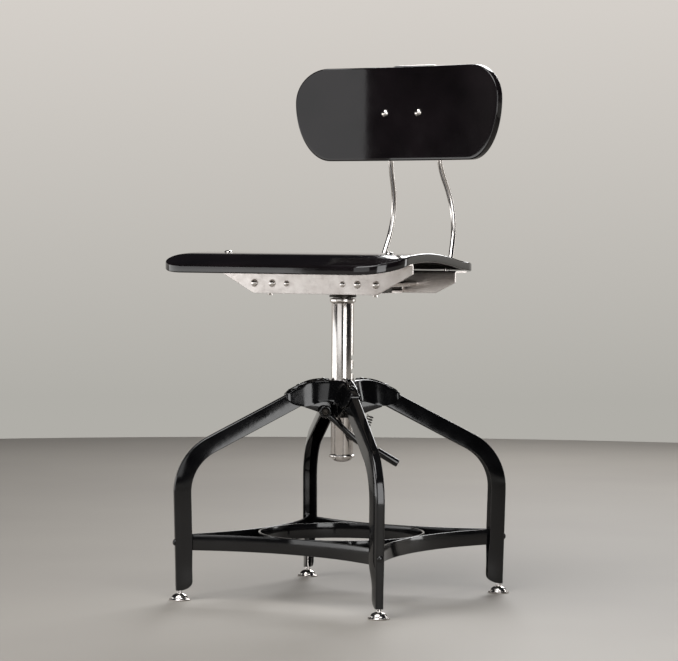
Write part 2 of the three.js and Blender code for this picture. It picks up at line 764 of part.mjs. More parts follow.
function addSeatBolts() {
  const names = ['front_outer', 'front_inner', 'rear'];
  boltPlaces().forEach(([x, y, blind], i) => {
    const under = seatHeight - (y < 0 ? frontBracket.top : rearBracket.top) - bracketSheet - gap;
    const over = Math.max(seatUnderAt(y - boltHead), seatUnderAt(y + boltHead)) + seatThickness + gap;
    const through = [
      [0, under - 8.4], [boltRadius, under - 7.4], [boltRadius, under - 5.2], [5.6, under - 5.2],
      [5.6, under], [boltRadius, under], [boltRadius, over], [boltHead, over], [4.4, over + 1.8],
      [0, over + 2.8],
    ];
    const fromBelow = [
      [0, under - 6.4], [3.6, under - 5.8], [boltHead, under - 3.6], [boltHead, under],
      [boltRadius, under], [boltRadius, seatUnderAt(y) + blindDepth], [0, seatUnderAt(y) + blindDepth],
    ];
    const shape = turned(blind ? fromBelow : through, 10);
    const side = i % 2 ? 'left' : 'right';
    place(`seat_bolt_${names[Math.floor(i / 2)]}_${side}`, shape, 'nickel').position.set(x, y, 0);
  });
}

function addBrackets() {
  const ends = [-1, 1];
  const frontWeb = uprightPlate(bracketOutline(frontBracket), -bracketPlace, bracketSheet);
  const frontFlange = block(
    [-frontBracket.half, -bracketPlace - flangeReach, seatHeight - frontBracket.top - bracketSheet],
    [frontBracket.half, -bracketPlace + bracketSheet, seatHeight - frontBracket.top],
  );
  const screws = ends.flatMap((side) => [tieScrewPlace, ...socketScrews].map((x) => screwHole(side * x)));
  const bolts = boltPlaces().map(([x, y]) => pin(boltRadius + runningGap, screwHeight, seatHeight + 10, 14)
    .translate(x, y, 0));
  place('front_bracket', cutBy(joined(frontWeb, frontFlange), ...screws, ...bolts), 'satin');
  const rearWeb = uprightPlate(bracketOutline(rearBracket), bracketPlace - bracketSheet, bracketSheet);
  const rearFlange = block(
    [-rearBracket.half, bracketPlace - bracketSheet, seatHeight - rearBracket.top - bracketSheet],
    [rearBracket.half, bracketPlace + flangeReach, seatHeight - rearBracket.top],
  );
  const rodHoles = ends.map((side) => rodTunnel(side, 0.6));
  place('rear_bracket', cutBy(joined(rearWeb, rearFlange), ...bolts, ...rodHoles), 'satin');
}

// Round-headed screw through the front bracket, its head on the outside.
function addBracketScrews() {
  const rows = [
    ['tie_screw', tieScrewPlace, tieScrewHead, 7],
    ['socket_screw_inner', socketScrews[0], screwHead, 12],
    ['socket_screw_outer', socketScrews[1], screwHead, 12],
  ];
  for (const [name, across, head, length] of rows) {
    for (const [side, sign] of [['left', -1], ['right', 1]]) {
      const shape = turned([
        [0, -length], [screwRadius, -length], [screwRadius, gap], [head, gap],
        [head * 0.8, gap + 1.6], [0, gap + 2.7],
      ], 10);
      const screw = place(`${name}_${side}`, shape, 'nickel');
      screw.position.set(sign * across, -bracketPlace, screwHeight);
      screw.rotation.x = Math.PI / 2;
    }
  }
}

// ---- back rod, its sockets and the back panel ------------------------------------------

function rodCorners(side) {
  const [turnX, turnY] = rodTurnPlace;
  return [
    [new THREE.Vector3(side * rodFrontPlace, rodFrontEnd, screwHeight), 0],
    [new THREE.Vector3(side * turnX, turnY, screwHeight), rodTurnBend],
    [new THREE.Vector3(side * rodBow[0], rodBow[1], seatHeight + rodBow[2]), rodBowBend],
    [new THREE.Vector3(side * rodTopHalf, rodUpright, panelBottom - rodNeckDrop), rodNeckBend],
    [new THREE.Vector3(side * rodTopHalf, rodUpright, rodTop), rodTopBend],
  ];
}

// Straight run of the rod under the seat, thickened for cutting holes.
function rodTunnel(side, extra) {
  const [start, turn] = rodCorners(side).map(([point]) => point);
  const along = turn.clone().sub(start).normalize();
  const from = start.clone().addScaledVector(along, -1);
  return barrel(from.toArray(), turn.toArray(), rodRadius + extra, 14);
}

function addBackRod() {
  const corners = [...rodCorners(-1), ...rodCorners(1).reverse()];
  place('back_rod', rod(roundedRun(corners, 6), rodRadius, 8), 'nickel');
}

function addRodSockets() {
  const back = -bracketPlace + bracketSheet + gap;
  const setPlace = back + setScrewPlace;
  for (const [side, sign] of [['left', -1], ['right', 1]]) {
    const [low, high] = [sign * socketInner, sign * socketOuter].sort((a, b) => a - b);
    const body = block([low, back, socketLow], [high, back + socketDepth, socketHigh]);
    const holes = socketScrews.map((x) => screwHole(sign * x));
    const along = rodCorners(sign)[1][0].clone().sub(rodCorners(sign)[0][0]);
    const setX = sign * rodFrontPlace + (along.x / along.y) * (setPlace - rodFrontEnd);
    const tap = pin(screwRadius + runningGap, socketLow - 5, screwHeight, 14).translate(setX, setPlace, 0);
    place(`rod_socket_${side}`, cutBy(body, rodTunnel(sign, gap), ...holes, tap), 'steel');
    const screw = turned([
      [0, socketLow - 6.2], [setScrewHead - 0.4, socketLow - 6.2], [setScrewHead, socketLow - 5.6],
      [setScrewHead, socketLow - 2], [screwRadius, socketLow - 2],
      [screwRadius, screwHeight - rodRadius - gap], [0, screwHeight - rodRadius - gap],
    ], 14);
    place(`rod_set_screw_${side}`, screw, 'nickel').position.set(setX, setPlace, 0);
  }
}

function panelOutline() {
  const outline = new THREE.Shape();
  const topFlat = panelHalf - panelTopCorner;
  const lowFlat = panelHalf - panelSideCorner;
  const lowTall = panelTall - panelShoulder;
  outline.moveTo(-lowFlat, panelBottom);
  outline.lineTo(lowFlat, panelBottom);
  outline.absellipse(lowFlat, shoulderHeight, panelSideCorner, lowTall, -Math.PI / 2, 0);
  outline.absellipse(topFlat, shoulderHeight, panelTopCorner, panelShoulder, 0, Math.PI / 2);
  outline.absellipse(-topFlat, shoulderHeight, panelTopCorner, panelShoulder, Math.PI / 2, Math.PI);
  outline.absellipse(-lowFlat, shoulderHeight, panelSideCorner, lowTall, Math.PI, (3 * Math.PI) / 2);
  return outline;
}

function clampHole(across) {
  const behind = rodUpright + 27;
  return barrel([across, panelFace - 10, clampHeight], [across, behind, clampHeight],
    clampScrewRadius + runningGap, 12);
}

function addBackPanel() {
  const sweep = Math.asin((panelHalf + 12) / panelBend);
  const centre = panelFace - panelBend;
  const arc = new THREE.Shape();
  arc.absarc(0, centre, panelBend + panelThickness, Math.PI / 2 - sweep, Math.PI / 2 + sweep);
  arc.absarc(0, centre, panelBend, Math.PI / 2 + sweep, Math.PI / 2 - sweep, true);
  const slab = prism(arc, panelTall + 20, 14).translate(0, 0, panelBottom - 10);
  const front = uprightPlate(panelOutline(), panelFace - 80, 110, 7);
  const holes = [-1, 1].map((side) => clampHole(side * clampScrewPlace));
  place('back_panel', cutBy(common(slab, front), ...holes), 'lacquer');
}

function addBackClamp() {
  const panelBack = panelFace + panelThickness + gap;
  const rodFace = rodUpright - rodRadius - gap;
  const rodBack = rodUpright + rodRadius + gap;
  const holes = [-1, 1].map((side) => clampHole(side * clampScrewPlace));
  const high = clampHeight + clampTall;
  const low = clampHeight - clampTall;
  const spacer = block([-clampHalf, panelBack, low], [clampHalf, rodFace, high]);
  const rim = panelBend + panelThickness + gap;
  const hollow = pin(rim, low - 5, high + 5, 180).translate(0, panelFace - panelBend, 0);
  place('clamp_block', cutBy(spacer, hollow, ...holes), 'satin');
  const plateBack = rodBack + clampPlateWall;
  const plate = block([-clampHalf, rodBack, low], [clampHalf, plateBack, high]);
  place('clamp_plate', cutBy(plate, ...holes), 'satin');
  const headDip = panelBend - Math.sqrt(panelBend ** 2 - (clampScrewPlace + clampScrewHead) ** 2);
  for (const [side, sign] of [['left', -1], ['right', 1]]) {
    const start = -panelFace + headDip + 0.1;
    const nut = -(plateBack + gap);
    const shape = turned([
      [0, nut - 6.4], [clampScrewRadius, nut - 6.4], [clampScrewRadius, nut - 4.4], [4.6, nut - 4.4],
      [4.6, nut], [clampScrewRadius, nut], [clampScrewRadius, start], [clampScrewHead, start],
      [4.6, start + 2.2], [0, start + 3.6],
    ], 12);
    const screw = place(`clamp_screw_${side}`, shape, 'nickel');
    screw.position.set(sign * clampScrewPlace, 0, clampHeight);
    screw.rotation.x = Math.PI / 2;
  }
}

// ---- height latch -----------------------------------------------------------------------

function addLatch() {
  const latch = new THREE.Group();
  latch.rotation.z = latchTurn;
  chair.add(latch);
  const pivotX = -postRadius - leverReach;
  const pivotZ = hubTop - leverDrop;
  const at = ([x, z]) => new THREE.Vector3(x, -leverPlane, hubTop + z);
  const [start, ...bends] = leverCorners;
  const end = bends.pop();
  const bar = roundedRun([
    [at([start[0] - postRadius, start[1]]), 0],
    ...bends.map((corner) => [at(corner), leverBend]),
    [at(end), 0],
  ], 5);
  const eye = tube(pivotRadius + gap, leverEye, -leverEyeHalf, leverEyeHalf, 24)
    .rotateX(Math.PI / 2).translate(pivotX, -leverPlane, pivotZ);
  place('lever_rod', joined(eye, rod(bar, leverRodRadius, 12)), 'enamel', latch);

  const pawlPlace = postRadius + pawlRoom;
  const pawlHeight = hubTop - pawlDrop;
  const pawl = barrel([pawlPlace, -leverPlane + 5, pawlHeight], [pawlPlace, 8, pawlHeight], pawlRadius, 12);
  place('latch_pawl', pawl, 'steel', latch);

  const [lastBend, barEnd] = [bends.at(-1), end].map(at);
  const along = barEnd.clone().sub(lastBend).normalize();
  const mouth = lastBend.clone().addScaledVector(along, handleStart);
  const grip = rod([mouth, lastBend.clone().addScaledVector(along, handleEnd)], handleRadius, 20);
  const bore = rod([lastBend, barEnd.clone().addScaledVector(along, gap)], leverRodRadius + gap, 20);
  place('lever_handle', cutBy(grip, bore), 'enamel', latch);

  const headLow = leverEyeHalf + 0.8;
  const trayTurn = legTurns.front_left - latchTurn;
  const traySide = trayHalf / Math.abs(Math.cos(trayTurn)) - Math.tan(trayTurn) * (pivotX - pivotRadius);
  const pinEnd = traySide + 3 * gap - leverPlane;
  const pivotPin = turned([
    [0, pinEnd], [pivotRadius, pinEnd], [pivotRadius, headLow], [pivotHead, headLow],
    [pivotHead, headLow + 2.2], [pivotHead - 1.4, headLow + 3.4], [0, headLow + 3.6],
  ], 18).rotateX(Math.PI / 2).translate(pivotX, -leverPlane, pivotZ);
  place('lever_pin', pivotPin, 'steel', latch);
  const lugHole = barrel([pivotX, -leverPlane + 2, pivotZ], [pivotX, 0, pivotZ], pivotRadius + gap);
  const lug = block(
    [pivotX - lugHalf[0], -leverPlane + headLow, pivotZ - lugHalf[1]],
    [-postRadius - runningGap - sleeveWall - gap, -8, pivotZ + lugHalf[1]],
  );
  const trayRoom = trayHalf + gap;
  const besideTray = block([0, -trayRoom, pivotZ - 30], [60, trayRoom, pivotZ + 30]).rotateZ(trayTurn);
  place('lever_bracket', cutBy(lug, lugHole, besideTray), 'enamel', latch);

  place('latch_spring', rod(springRun(), springWire, 4), 'steel', latch);
}

function springRun() {
  const [top, low] = [springTopEnd, springLowEnd].map(([x, y, z]) => new THREE.Vector3(x, y, hubTop + z));
  const along = low.clone().sub(top).normalize();
  const side = new THREE.Vector3(0, 1, 0).cross(along).normalize();
  const other = along.clone().cross(side);
  const perTurn = 7;
  const steps = springTurns * perTurn;
  const points = [];
  for (let i = 0; i <= steps; i += 1) {
    const turn = (2 * Math.PI * i) / perTurn;
    const point = top.clone().lerp(low, i / steps);
    point.addScaledVector(side, springCoil * Math.cos(turn));
    point.addScaledVector(other, springCoil * Math.sin(turn));
    points.push(point);
  }
  return points;
}

addHub();
addLegs();
addRivets();
addFootrest();
addGlides();
addPost();
addSwivel();
addSeat();
addBrackets();
addSeatBolts();
addBracketScrews();
addBackRod();
addRodSockets();
addBackPanel();
addBackClamp();
addLatch();

// The origin goes under the middle of the footprint.
const bounds = new THREE.Box3().setFromObject(chair, true);
chair.position.y = -(bounds.min.y + bounds.max.y) / 2;

export default chair;
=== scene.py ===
import json
import math

import bmesh
import bpy
import numpy as np
from mathutils import Matrix, Vector


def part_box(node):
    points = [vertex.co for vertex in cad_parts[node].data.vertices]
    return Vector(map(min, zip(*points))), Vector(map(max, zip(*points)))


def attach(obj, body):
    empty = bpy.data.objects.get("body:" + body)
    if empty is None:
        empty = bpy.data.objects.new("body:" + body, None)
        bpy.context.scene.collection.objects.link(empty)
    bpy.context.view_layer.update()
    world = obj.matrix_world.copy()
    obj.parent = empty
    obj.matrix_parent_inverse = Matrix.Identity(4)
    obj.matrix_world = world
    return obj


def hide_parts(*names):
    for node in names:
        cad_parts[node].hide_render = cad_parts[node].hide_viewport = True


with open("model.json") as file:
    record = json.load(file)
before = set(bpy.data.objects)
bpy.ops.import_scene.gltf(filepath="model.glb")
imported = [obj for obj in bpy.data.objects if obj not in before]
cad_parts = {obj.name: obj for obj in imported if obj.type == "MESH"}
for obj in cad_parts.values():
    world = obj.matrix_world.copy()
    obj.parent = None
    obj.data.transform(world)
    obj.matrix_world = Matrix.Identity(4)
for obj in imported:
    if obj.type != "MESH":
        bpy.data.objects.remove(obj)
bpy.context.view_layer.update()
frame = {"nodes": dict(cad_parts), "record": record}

print("frame loaded")

mm = 0.001
gap = 0.3    # between faces that touch on the real chair
postLow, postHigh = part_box("post_tube")
axisX = (postLow.x + postHigh.x) / 2
axisY = (postLow.y + postHigh.y) / 2
legTurns = {"front_right": -45, "rear_right": 45, "rear_left": 135, "front_left": -135}


def turnZ(points, degrees):
    # x' = x cos a - y sin a, y' = x sin a + y cos a
    a = math.radians(degrees)
    turn = np.array([[math.cos(a), math.sin(a), 0], [-math.sin(a), math.cos(a), 0], [0, 0, 1]])
    return np.asarray(points, float) @ turn


def aimed(points, origin, direction):
    # the local Z axis is laid along direction, the local origin on origin
    turn = np.array(Vector(direction).to_track_quat("Z", "Y").to_matrix())
    return np.asarray(points, float) @ turn.T + np.asarray(origin, float)


def skin(rows, startPole=True, endPole=True):
    # rows of closed rings joined by four-sided faces; a pole or a flat face fills each end
    rows = np.asarray(rows, float)
    n, m = rows.shape[:2]
    verts = rows.reshape(-1, 3)
    i, j = np.meshgrid(np.arange(n - 1), np.arange(m), indexing="ij")
    k = (j + 1) % m
    quads = np.stack([i * m + j, i * m + k, (i + 1) * m + k, (i + 1) * m + j], -1).reshape(-1, 4)
    faces = quads.tolist()
    for row, wanted in ((0, startPole), (n - 1, endPole)):
        ring = (row * m + np.arange(m)).tolist()
        if wanted:
            verts = np.vstack([verts, rows[row].mean(0)])
            faces += [[ring[a], ring[(a + 1) % m], len(verts) - 1] for a in range(m)]
        else:
            faces.append(ring)
    return verts, faces


def wrapped(rows):
    # like skin, but the last ring joins the first, as in a hoop or a tube wall
    rows = np.asarray(rows, float)
    n, m = rows.shape[:2]
    i, j = np.meshgrid(np.arange(n), np.arange(m), indexing="ij")
    k, l = (i + 1) % n, (j + 1) % m
    quads = np.stack([i * m + j, i * m + l, k * m + l, k * m + j], -1).reshape(-1, 4)
    return rows.reshape(-1, 3), quads.tolist()


def rounded(points, bends, steps=6, closed=False):
    # straight runs whose corners are arcs: the arc starts bend * tan(half turn) before the corner
    points = [np.asarray(p, float) for p in points]
    n = len(points)
    out = []
    for i, corner in enumerate(points):
        bend = bends[i] if isinstance(bends, (list, tuple)) else bends
        if bend <= 0 or (not closed and i in (0, n - 1)):
            out.append(corner)
            continue
        back, ahead = points[i - 1] - corner, points[(i + 1) % n] - corner
        back, ahead = back / np.linalg.norm(back), ahead / np.linalg.norm(ahead)
        half = (math.pi - math.acos(np.clip(back @ ahead, -1, 1))) / 2
        if half < 1e-3:
            out.append(corner)
            continue
        reach = bend * math.tan(half)
        middle = corner + (back + ahead) / np.linalg.norm(back + ahead) * bend / math.cos(half)
        start, end = corner + back * reach - middle, corner + ahead * reach - middle
        for t in np.linspace(0, 1, steps + 1):
            a = math.sin(2 * half * (1 - t)) / math.sin(2 * half)
            b = math.sin(2 * half * t) / math.sin(2 * half)
            out.append(middle + start * a + end * b)
    return np.array(out)


def spaced(points, count, closed=False):
    # the same line with its points an equal distance apart
    line = np.vstack([points, points[:1]]) if closed else np.asarray(points, float)
    gone = np.concatenate([[0], np.cumsum(np.linalg.norm(np.diff(line, axis=0), axis=1))])
    want = np.linspace(0, gone[-1], count + 1 if closed else count)
    even = np.stack([np.interp(want, gone, line[:, c]) for c in range(line.shape[1])], -1)
    return even[:-1] if closed else even


def outward(ring):
    # unit normals of a closed plan outline that runs anticlockwise
    along = np.roll(ring, -1, 0) - np.roll(ring, 1, 0)
    across = np.stack([along[:, 1], -along[:, 0]], -1)
    return across / np.linalg.norm(across, axis=1)[:, None]


def swept(path, section, sizes=None, closed=False, poles=(True, True)):
    # a section (x to the side, y up) carried along a path; sizes scale it from point to point
    path = np.asarray(path, float)
    if closed:
        along = np.roll(path, -1, 0) - np.roll(path, 1, 0)
    else:
        along = np.gradient(path, axis=0)
    along /= np.linalg.norm(along, axis=1)[:, None]
    ups = np.zeros_like(path)
    guess = np.array([0, 0, 1.0]) if abs(along[0][2]) < 0.9 else np.array([0, 1.0, 0])
    for i, direction in enumerate(along):
        guess = guess - direction * (guess @ direction)
        guess = guess / np.linalg.norm(guess)
        ups[i] = guess
    sides = np.cross(along, ups)
    size = np.ones(len(path)) if sizes is None else np.asarray(sizes, float)
    section = np.asarray(section, float)
    rows = (path[:, None, :] + size[:, None, None] * (
        sides[:, None, :] * section[None, :, :1] + ups[:, None, :] * section[None, :, 1:]))
    return wrapped(rows) if closed else skin(rows, *poles)


def circle(radius, count=20):
    a = np.arange(count) * 2 * math.pi / count
    return np.stack([radius * np.cos(a), radius * np.sin(a)], -1)


def box(halfX, halfY, bend, steps=3):
    corners = [(-halfX, -halfY), (halfX, -halfY), (halfX, halfY), (-halfX, halfY)]
    return rounded(corners, bend, steps, closed=True)


def rodWithEnds(path, radius, count=20, endRound=0.7):
    # a round bar whose ends are eased over: size = sqrt(1 - (1 - t)^2) along the last bit
    path = np.asarray(path, float)
    ease = radius * endRound
    for end in (0, -1):
        inner = path[1] if end == 0 else path[-2]
        back = (inner - path[end]) / np.linalg.norm(inner - path[end])
        extra = [path[end] + back * ease * s for s in (0.08, 0.3, 0.6, 1.0)]
        parts = [path[:1], extra, path[1:]] if end == 0 else [path[:-1], extra[::-1], path[-1:]]
        path = np.vstack(parts)
    sizes = np.ones(len(path))
    bite = [0.62, 0.80, 0.93, 0.99, 1.0]
    sizes[:5] = bite
    sizes[-5:] = bite[::-1]
    return swept(path, circle(radius, count), sizes)


def spunSolid(profile, count, ease):
    # [distance, height] pairs turned about +Z, with every corner eased by a small arc
    profile = [np.asarray(p, float) for p in profile]
    n = len(profile)
    bends = [0.0] * n
    for i in range(1, n - 1):
        back, ahead = profile[i - 1] - profile[i], profile[i + 1] - profile[i]
        short = min(np.linalg.norm(back), np.linalg.norm(ahead))
        turn = math.pi - math.acos(np.clip(back @ ahead / np.linalg.norm(back) / np.linalg.norm(ahead), -1, 1))
        bends[i] = min(ease, 0.45 * short / max(math.tan(turn / 2), 1e-3))
    line = rounded(profile, bends, 3)
    a = np.arange(count) * 2 * math.pi / count
    return skin(np.stack([line[:, :1] * np.cos(a), line[:, :1] * np.sin(a), line[:, 1:] + 0 * a], -1))


def spunHollow(profile, count, ease):
    # the profile closes on itself away from the axis
    ring = rounded(profile, ease, 3, closed=True)
    a = np.arange(count) * 2 * math.pi / count
    rows = np.stack([ring[:, :1] * np.cos(a), ring[:, :1] * np.sin(a), ring[:, 1:] + 0 * a], -1)
    return wrapped(rows)


def tubeWall(inner, outer, low, high, count, ease):
    return spunHollow([(inner, low), (outer, low), (outer, high), (inner, high)], count, ease)


def disc(radius, low, high, count, ease):
    return spunSolid([(0, low), (radius, low), (radius, high), (0, high)], count, ease)


def hexNut(across, low, high):
    # a hexagon whose corners are cut by a cone at both ends
    a = np.arange(48) * 2 * math.pi / 48
    apothem = across / 2
    flat = apothem / np.cos((a + math.pi / 6) % (math.pi / 3) - math.pi / 6)
    levels = [(low, 0.93), (low + 0.5, 1.0), (high - 0.5, 1.0), (high, 0.93)]
    rows = []
    for z, limit in levels:
        r = np.minimum(flat, apothem * (1.13 if limit == 1.0 else 1.0))
        rows.append(np.stack([r * np.cos(a), r * np.sin(a), np.full_like(a, z)], -1))
    return skin(rows)


def plateSkin(outline, place, thickness, faceEdge, backEdge, rings=22):
    # a plate with eased edges: rings shrink from the outline to the middle on both faces, and
    # place turns (u, v, depth) into space
    normal = outward(outline)
    layers = []

    def inner(edge, share):
        start = outline - normal * edge
        middle = start.mean(0)
        return middle + (start - middle) * share

    for share in np.linspace(1 / rings, 1, rings):
        layers.append((inner(faceEdge, share), 0.0))
    for a in np.linspace(0, math.pi / 2, 8)[1:]:
        layers.append((outline - normal * faceEdge * (1 - math.sin(a)), faceEdge * (1 - math.cos(a))))
    for a in np.linspace(0, math.pi / 2, 8):
        depth = thickness - backEdge * (1 - math.sin(a))
        layers.append((outline - normal * backEdge * (1 - math.cos(a)), depth))
    for share in np.linspace(1, 1 / rings, rings)[1:]:
        layers.append((inner(backEdge, share), thickness))
    rows = [place(flat[:, 0], flat[:, 1], np.full(len(flat), depth)) for flat, depth in layers]
    return skin(rows)


def stood(ring, place, axis="x"):
    # a flat ring stood square to X or Y at a place along it
    across = np.full(len(ring), place)
    columns = [across, ring[:, 0], ring[:, 1]] if axis == "x" else [ring[:, 0], across, ring[:, 1]]
    return np.stack(columns, -1)


def slab(ring, stops, axis="x"):
    # the same ring at each stop; a stop is its place and how far the ring shrinks there
    rows = [stood(ring - outward(ring) * shrink, place, axis) for place, shrink in stops]
    return skin(rows, False, False)


def ontoLeg(corner, name, node, verts, faces, finish, sharp, body="base"):
    # a copy of the piece turned onto one leg
    stands = [f"{node}_{corner}"] if node else []
    turned = turnZ(verts, legTurns[corner])
    makePiece(name + corner.title().replace("_", ""), (turned, faces), body, finish, stands, sharp)


def joinedParts(*parts):
    verts, faces, start = [], [], 0
    for partVerts, partFaces in parts:
        verts.append(partVerts)
        faces += [[index + start for index in face] for face in partFaces]
        start += len(partVerts)
    return np.vstack(verts), faces


def newObject(name, part, merge=True):
    verts, faces = part
    verts = (np.asarray(verts, float) * mm + np.array([axisX, axisY, 0])).tolist()
    mesh = bpy.data.meshes.new(name)
    mesh.from_pydata(verts, [], faces)
    shape = bmesh.new()
    shape.from_mesh(mesh)
    if merge:
        bmesh.ops.remove_doubles(shape, verts=shape.verts, dist=2e-6)
    bmesh.ops.recalc_face_normals(shape, faces=shape.faces)
    shape.to_mesh(mesh)
    shape.free()
    thing = bpy.data.objects.new(name, mesh)
    bpy.context.scene.collection.objects.link(thing)
    return thing


def smoothed(mesh, sharp):
    mesh.shade_smooth()
    mesh.set_sharp_from_angle(angle=math.radians(sharp))


def makePiece(name, part, body, finish, stands=(), sharp=38):
    piece = newObject(name, part)
    smoothed(piece.data, sharp)
    piece.data.materials.append(finishes[finish])
    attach(piece, body)
    if stands:
        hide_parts(*stands)
    return piece


def cutAway(piece, parts, sharp):
    # each part is taken out of the piece, and the result is kept as plain mesh
    tool = newObject("cutter", joinedParts(*parts), merge=False)
    change = piece.modifiers.new("cut", "BOOLEAN")
    change.operation = "DIFFERENCE"
    change.solver = "EXACT"
    change.object = tool
    bpy.context.view_layer.update()
    graph = bpy.context.evaluated_depsgraph_get()
    mesh = bpy.data.meshes.new_from_object(piece.evaluated_get(graph))
    piece.modifiers.clear()
    piece.data = mesh
    mesh.name = piece.name
    bpy.data.objects.remove(tool)
    smoothed(mesh, sharp)


def thicken(piece, thickness, ease):
    wall = piece.modifiers.new("wall", "SOLIDIFY")
    wall.thickness = thickness * mm
    wall.offset = -1.0
    edge = piece.modifiers.new("edge", "BEVEL")
    edge.width = ease * mm
    edge.segments = 2
    edge.limit_method = "ANGLE"
    edge.angle_limit = math.radians(50)


def linearColour(text):
    # sRGB hex to linear: c / 12.92 below 0.04045, else ((c + 0.055) / 1.055) ^ 2.4
    parts = [int(text[i:i + 2], 16) / 255 for i in (1, 3, 5)]
    return tuple(c / 12.92 if c <= 0.04045 else ((c + 0.055) / 1.055) ** 2.4 for c in parts) + (1.0,)


def addNode(tree, kind, inputs=None, **settings):
    new = tree.nodes.new(kind)
    for key, value in settings.items():
        setattr(new, key, value)
    for key, value in (inputs or {}).items():
        if isinstance(value, bpy.types.NodeSocket):
            tree.links.new(value, new.inputs[key])
        else:
            new.inputs[key].default_value = value
    return new


def startMaterial(name):
    material = bpy.data.materials.new(name)
    material.use_nodes = True
    tree = material.node_tree
    shader = tree.nodes["Principled BSDF"]
    spot = addNode(tree, "ShaderNodeTexCoord").outputs["Object"]
    return material, tree, shader, spot


def noiseAt(tree, spot, size, detail, stretch=(1, 1, 1), rough=0.5):
    # size is the width of one blotch in millimetres
    place = addNode(tree, "ShaderNodeMapping", {"Vector": spot, "Scale": stretch})
    scale = 1 / (size * mm)
    return addNode(tree, "ShaderNodeTexNoise", {
        "Vector": place.outputs["Vector"], "Scale": scale, "Detail": detail, "Roughness": rough,
    }).outputs["Fac"]


def between(tree, value, low, high, fromLow=0.3, fromHigh=0.7):
    return addNode(tree, "ShaderNodeMapRange", {
        "Value": value, "From Min": fromLow, "From Max": fromHigh, "To Min": low, "To Max": high,
    }).outputs["Result"]


def twoColours(tree, value, dark, light, low=0.3, high=0.7):
    ramp = addNode(tree, "ShaderNodeValToRGB", {"Fac": value})
    ramp.color_ramp.elements[0].position = low
    ramp.color_ramp.elements[0].color = linearColour(dark)
    ramp.color_ramp.elements[1].position = high
    ramp.color_ramp.elements[1].color = linearColour(light)
    return ramp.outputs["Color"]


finishLooks = {
    # sprayed lacquer over moulded plywood: deep brown-black, mirror-like, with a slow ripple; the
    # ripple is 2 mm wide in life and drawn coarser so that it shows
    "lacquer": {
        "name": "glossLacquerPlywood", "dark": "#0b090a", "light": "#151113", "ior": 1.5,
        "cloud": (70, 2.0), "haze": (26, 4.0), "rough": (0.05, 0.09), "relief": (7, 1.0),
        "strength": 0.35, "depth": 0.035,
    },
    # baked enamel on pressed steel: neutral black, glassy, with a fine orange peel that is about
    # 1.5 mm in life and drawn coarser
    "enamel": {
        "name": "glossEnamelSteel", "dark": "#060607", "light": "#101011", "ior": 1.52,
        "cloud": (45, 3.0), "haze": (18, 4.0), "rough": (0.07, 0.14), "relief": (5, 1.5),
        "strength": 0.4, "depth": 0.05,
    },
    # bright nickel over steel, buffed: warm silver, sharp reflections, faint upright buffing lines
    "nickel": {
        "name": "polishedNickelPlate", "dark": "#c9c3be", "light": "#e2dedb", "metal": 1.0,
        "cloud": (30, 4.0), "haze": (1.8, 3.0, (1, 1, 0.08)), "rough": (0.12, 0.22),
        "relief": (1.8, 3.0, (1, 1, 0.08)), "strength": 0.06, "depth": 0.01,
    },
    # nickel on rolled sheet, not buffed: soft reflections, slow blotches and a mill grain along
    # the sheet, finer in life and drawn coarser
    "satin_nickel": {
        "name": "satinNickelSheet", "dark": "#cbc4c0", "light": "#e6e1de", "metal": 1.0,
        "cloud": (30, 5.0, (1, 1, 1), 0.6), "haze": (9, 4.0), "rough": (0.30, 0.42),
        "relief": (2.2, 3.0, (0.12, 1, 1)), "strength": 0.25, "depth": 0.03,
    },
    # black oxide on turned steel: dark, a soft broken shine
    "dark_steel": {
        "name": "oiledDarkSteel", "dark": "#1c1b1b", "light": "#48443f", "metal": 1.0,
        "cloud": (6, 5.0), "haze": (3, 3.0), "rough": (0.28, 0.5), "relief": (3, 3.0),
        "strength": 0.2, "depth": 0.03,
    },
}


def makeFinish(look):
    # slow blotches of colour, a haze of roughness, and a relief whose depth is in millimetres
    material, tree, shader, spot = startMaterial(look["name"])
    cloud = noiseAt(tree, spot, *look["cloud"])
    tree.links.new(twoColours(tree, cloud, look["dark"], look["light"]), shader.inputs["Base Color"])
    haze = noiseAt(tree, spot, *look["haze"])
    tree.links.new(between(tree, haze, *look["rough"]), shader.inputs["Roughness"])
    relief = noiseAt(tree, spot, *look["relief"])
    bump = addNode(tree, "ShaderNodeBump", {
        "Height": relief, "Strength": look["strength"], "Distance": look["depth"] * mm,
    })
    tree.links.new(bump.outputs["Normal"], shader.inputs["Normal"])
    if "ior" in look:
        shader.inputs["IOR"].default_value = look["ior"]
    shader.inputs["Metallic"].default_value = look.get("metal", 0.0)
    return material


finishes = {slot: makeFinish(look) for slot, look in finishLooks.items()}
for record in frame["record"]["subparts"]:
    cadPiece = frame["nodes"][record["node"]]
    cadPiece.data.materials.clear()
    cadPiece.data.materials.append(finishes[record["material_slot"]])
print("finishes made")


seatSize = {
    "front": 195, "rear": 170, "halfFront": 190, "halfRear": 143, "frontCorner": 50, "rearCorner": 80,
    "crown": 472.6, "thickness": 12, "topEdge": 2.4, "lowEdge": 2.0,
    "drop": [(-195, 17.1), (-165, 10.6), (-130, 3.6), (-95, 0.9), (-55, 0.0), (-10, 1.8), (35, 5.7),
             (80, 10.9), (130, 14.2), (170, 16.4)],
}


def splineThrough(knots, at):
    # a smooth curve through the knots: each span is a cubic that keeps its neighbours' slopes
    x, y = np.array(knots, float).T
    slope = np.gradient(y, x)
    k = np.clip(np.searchsorted(x, at) - 1, 0, len(x) - 2)
    h = x[k + 1] - x[k]
    t = (at - x[k]) / h
    a = (2 * t ** 3 - 3 * t ** 2 + 1) * y[k] + (t ** 3 - 2 * t ** 2 + t) * h * slope[k]
    return a + (3 * t ** 2 - 2 * t ** 3) * y[k + 1] + (t ** 3 - t ** 2) * h * slope[k + 1]


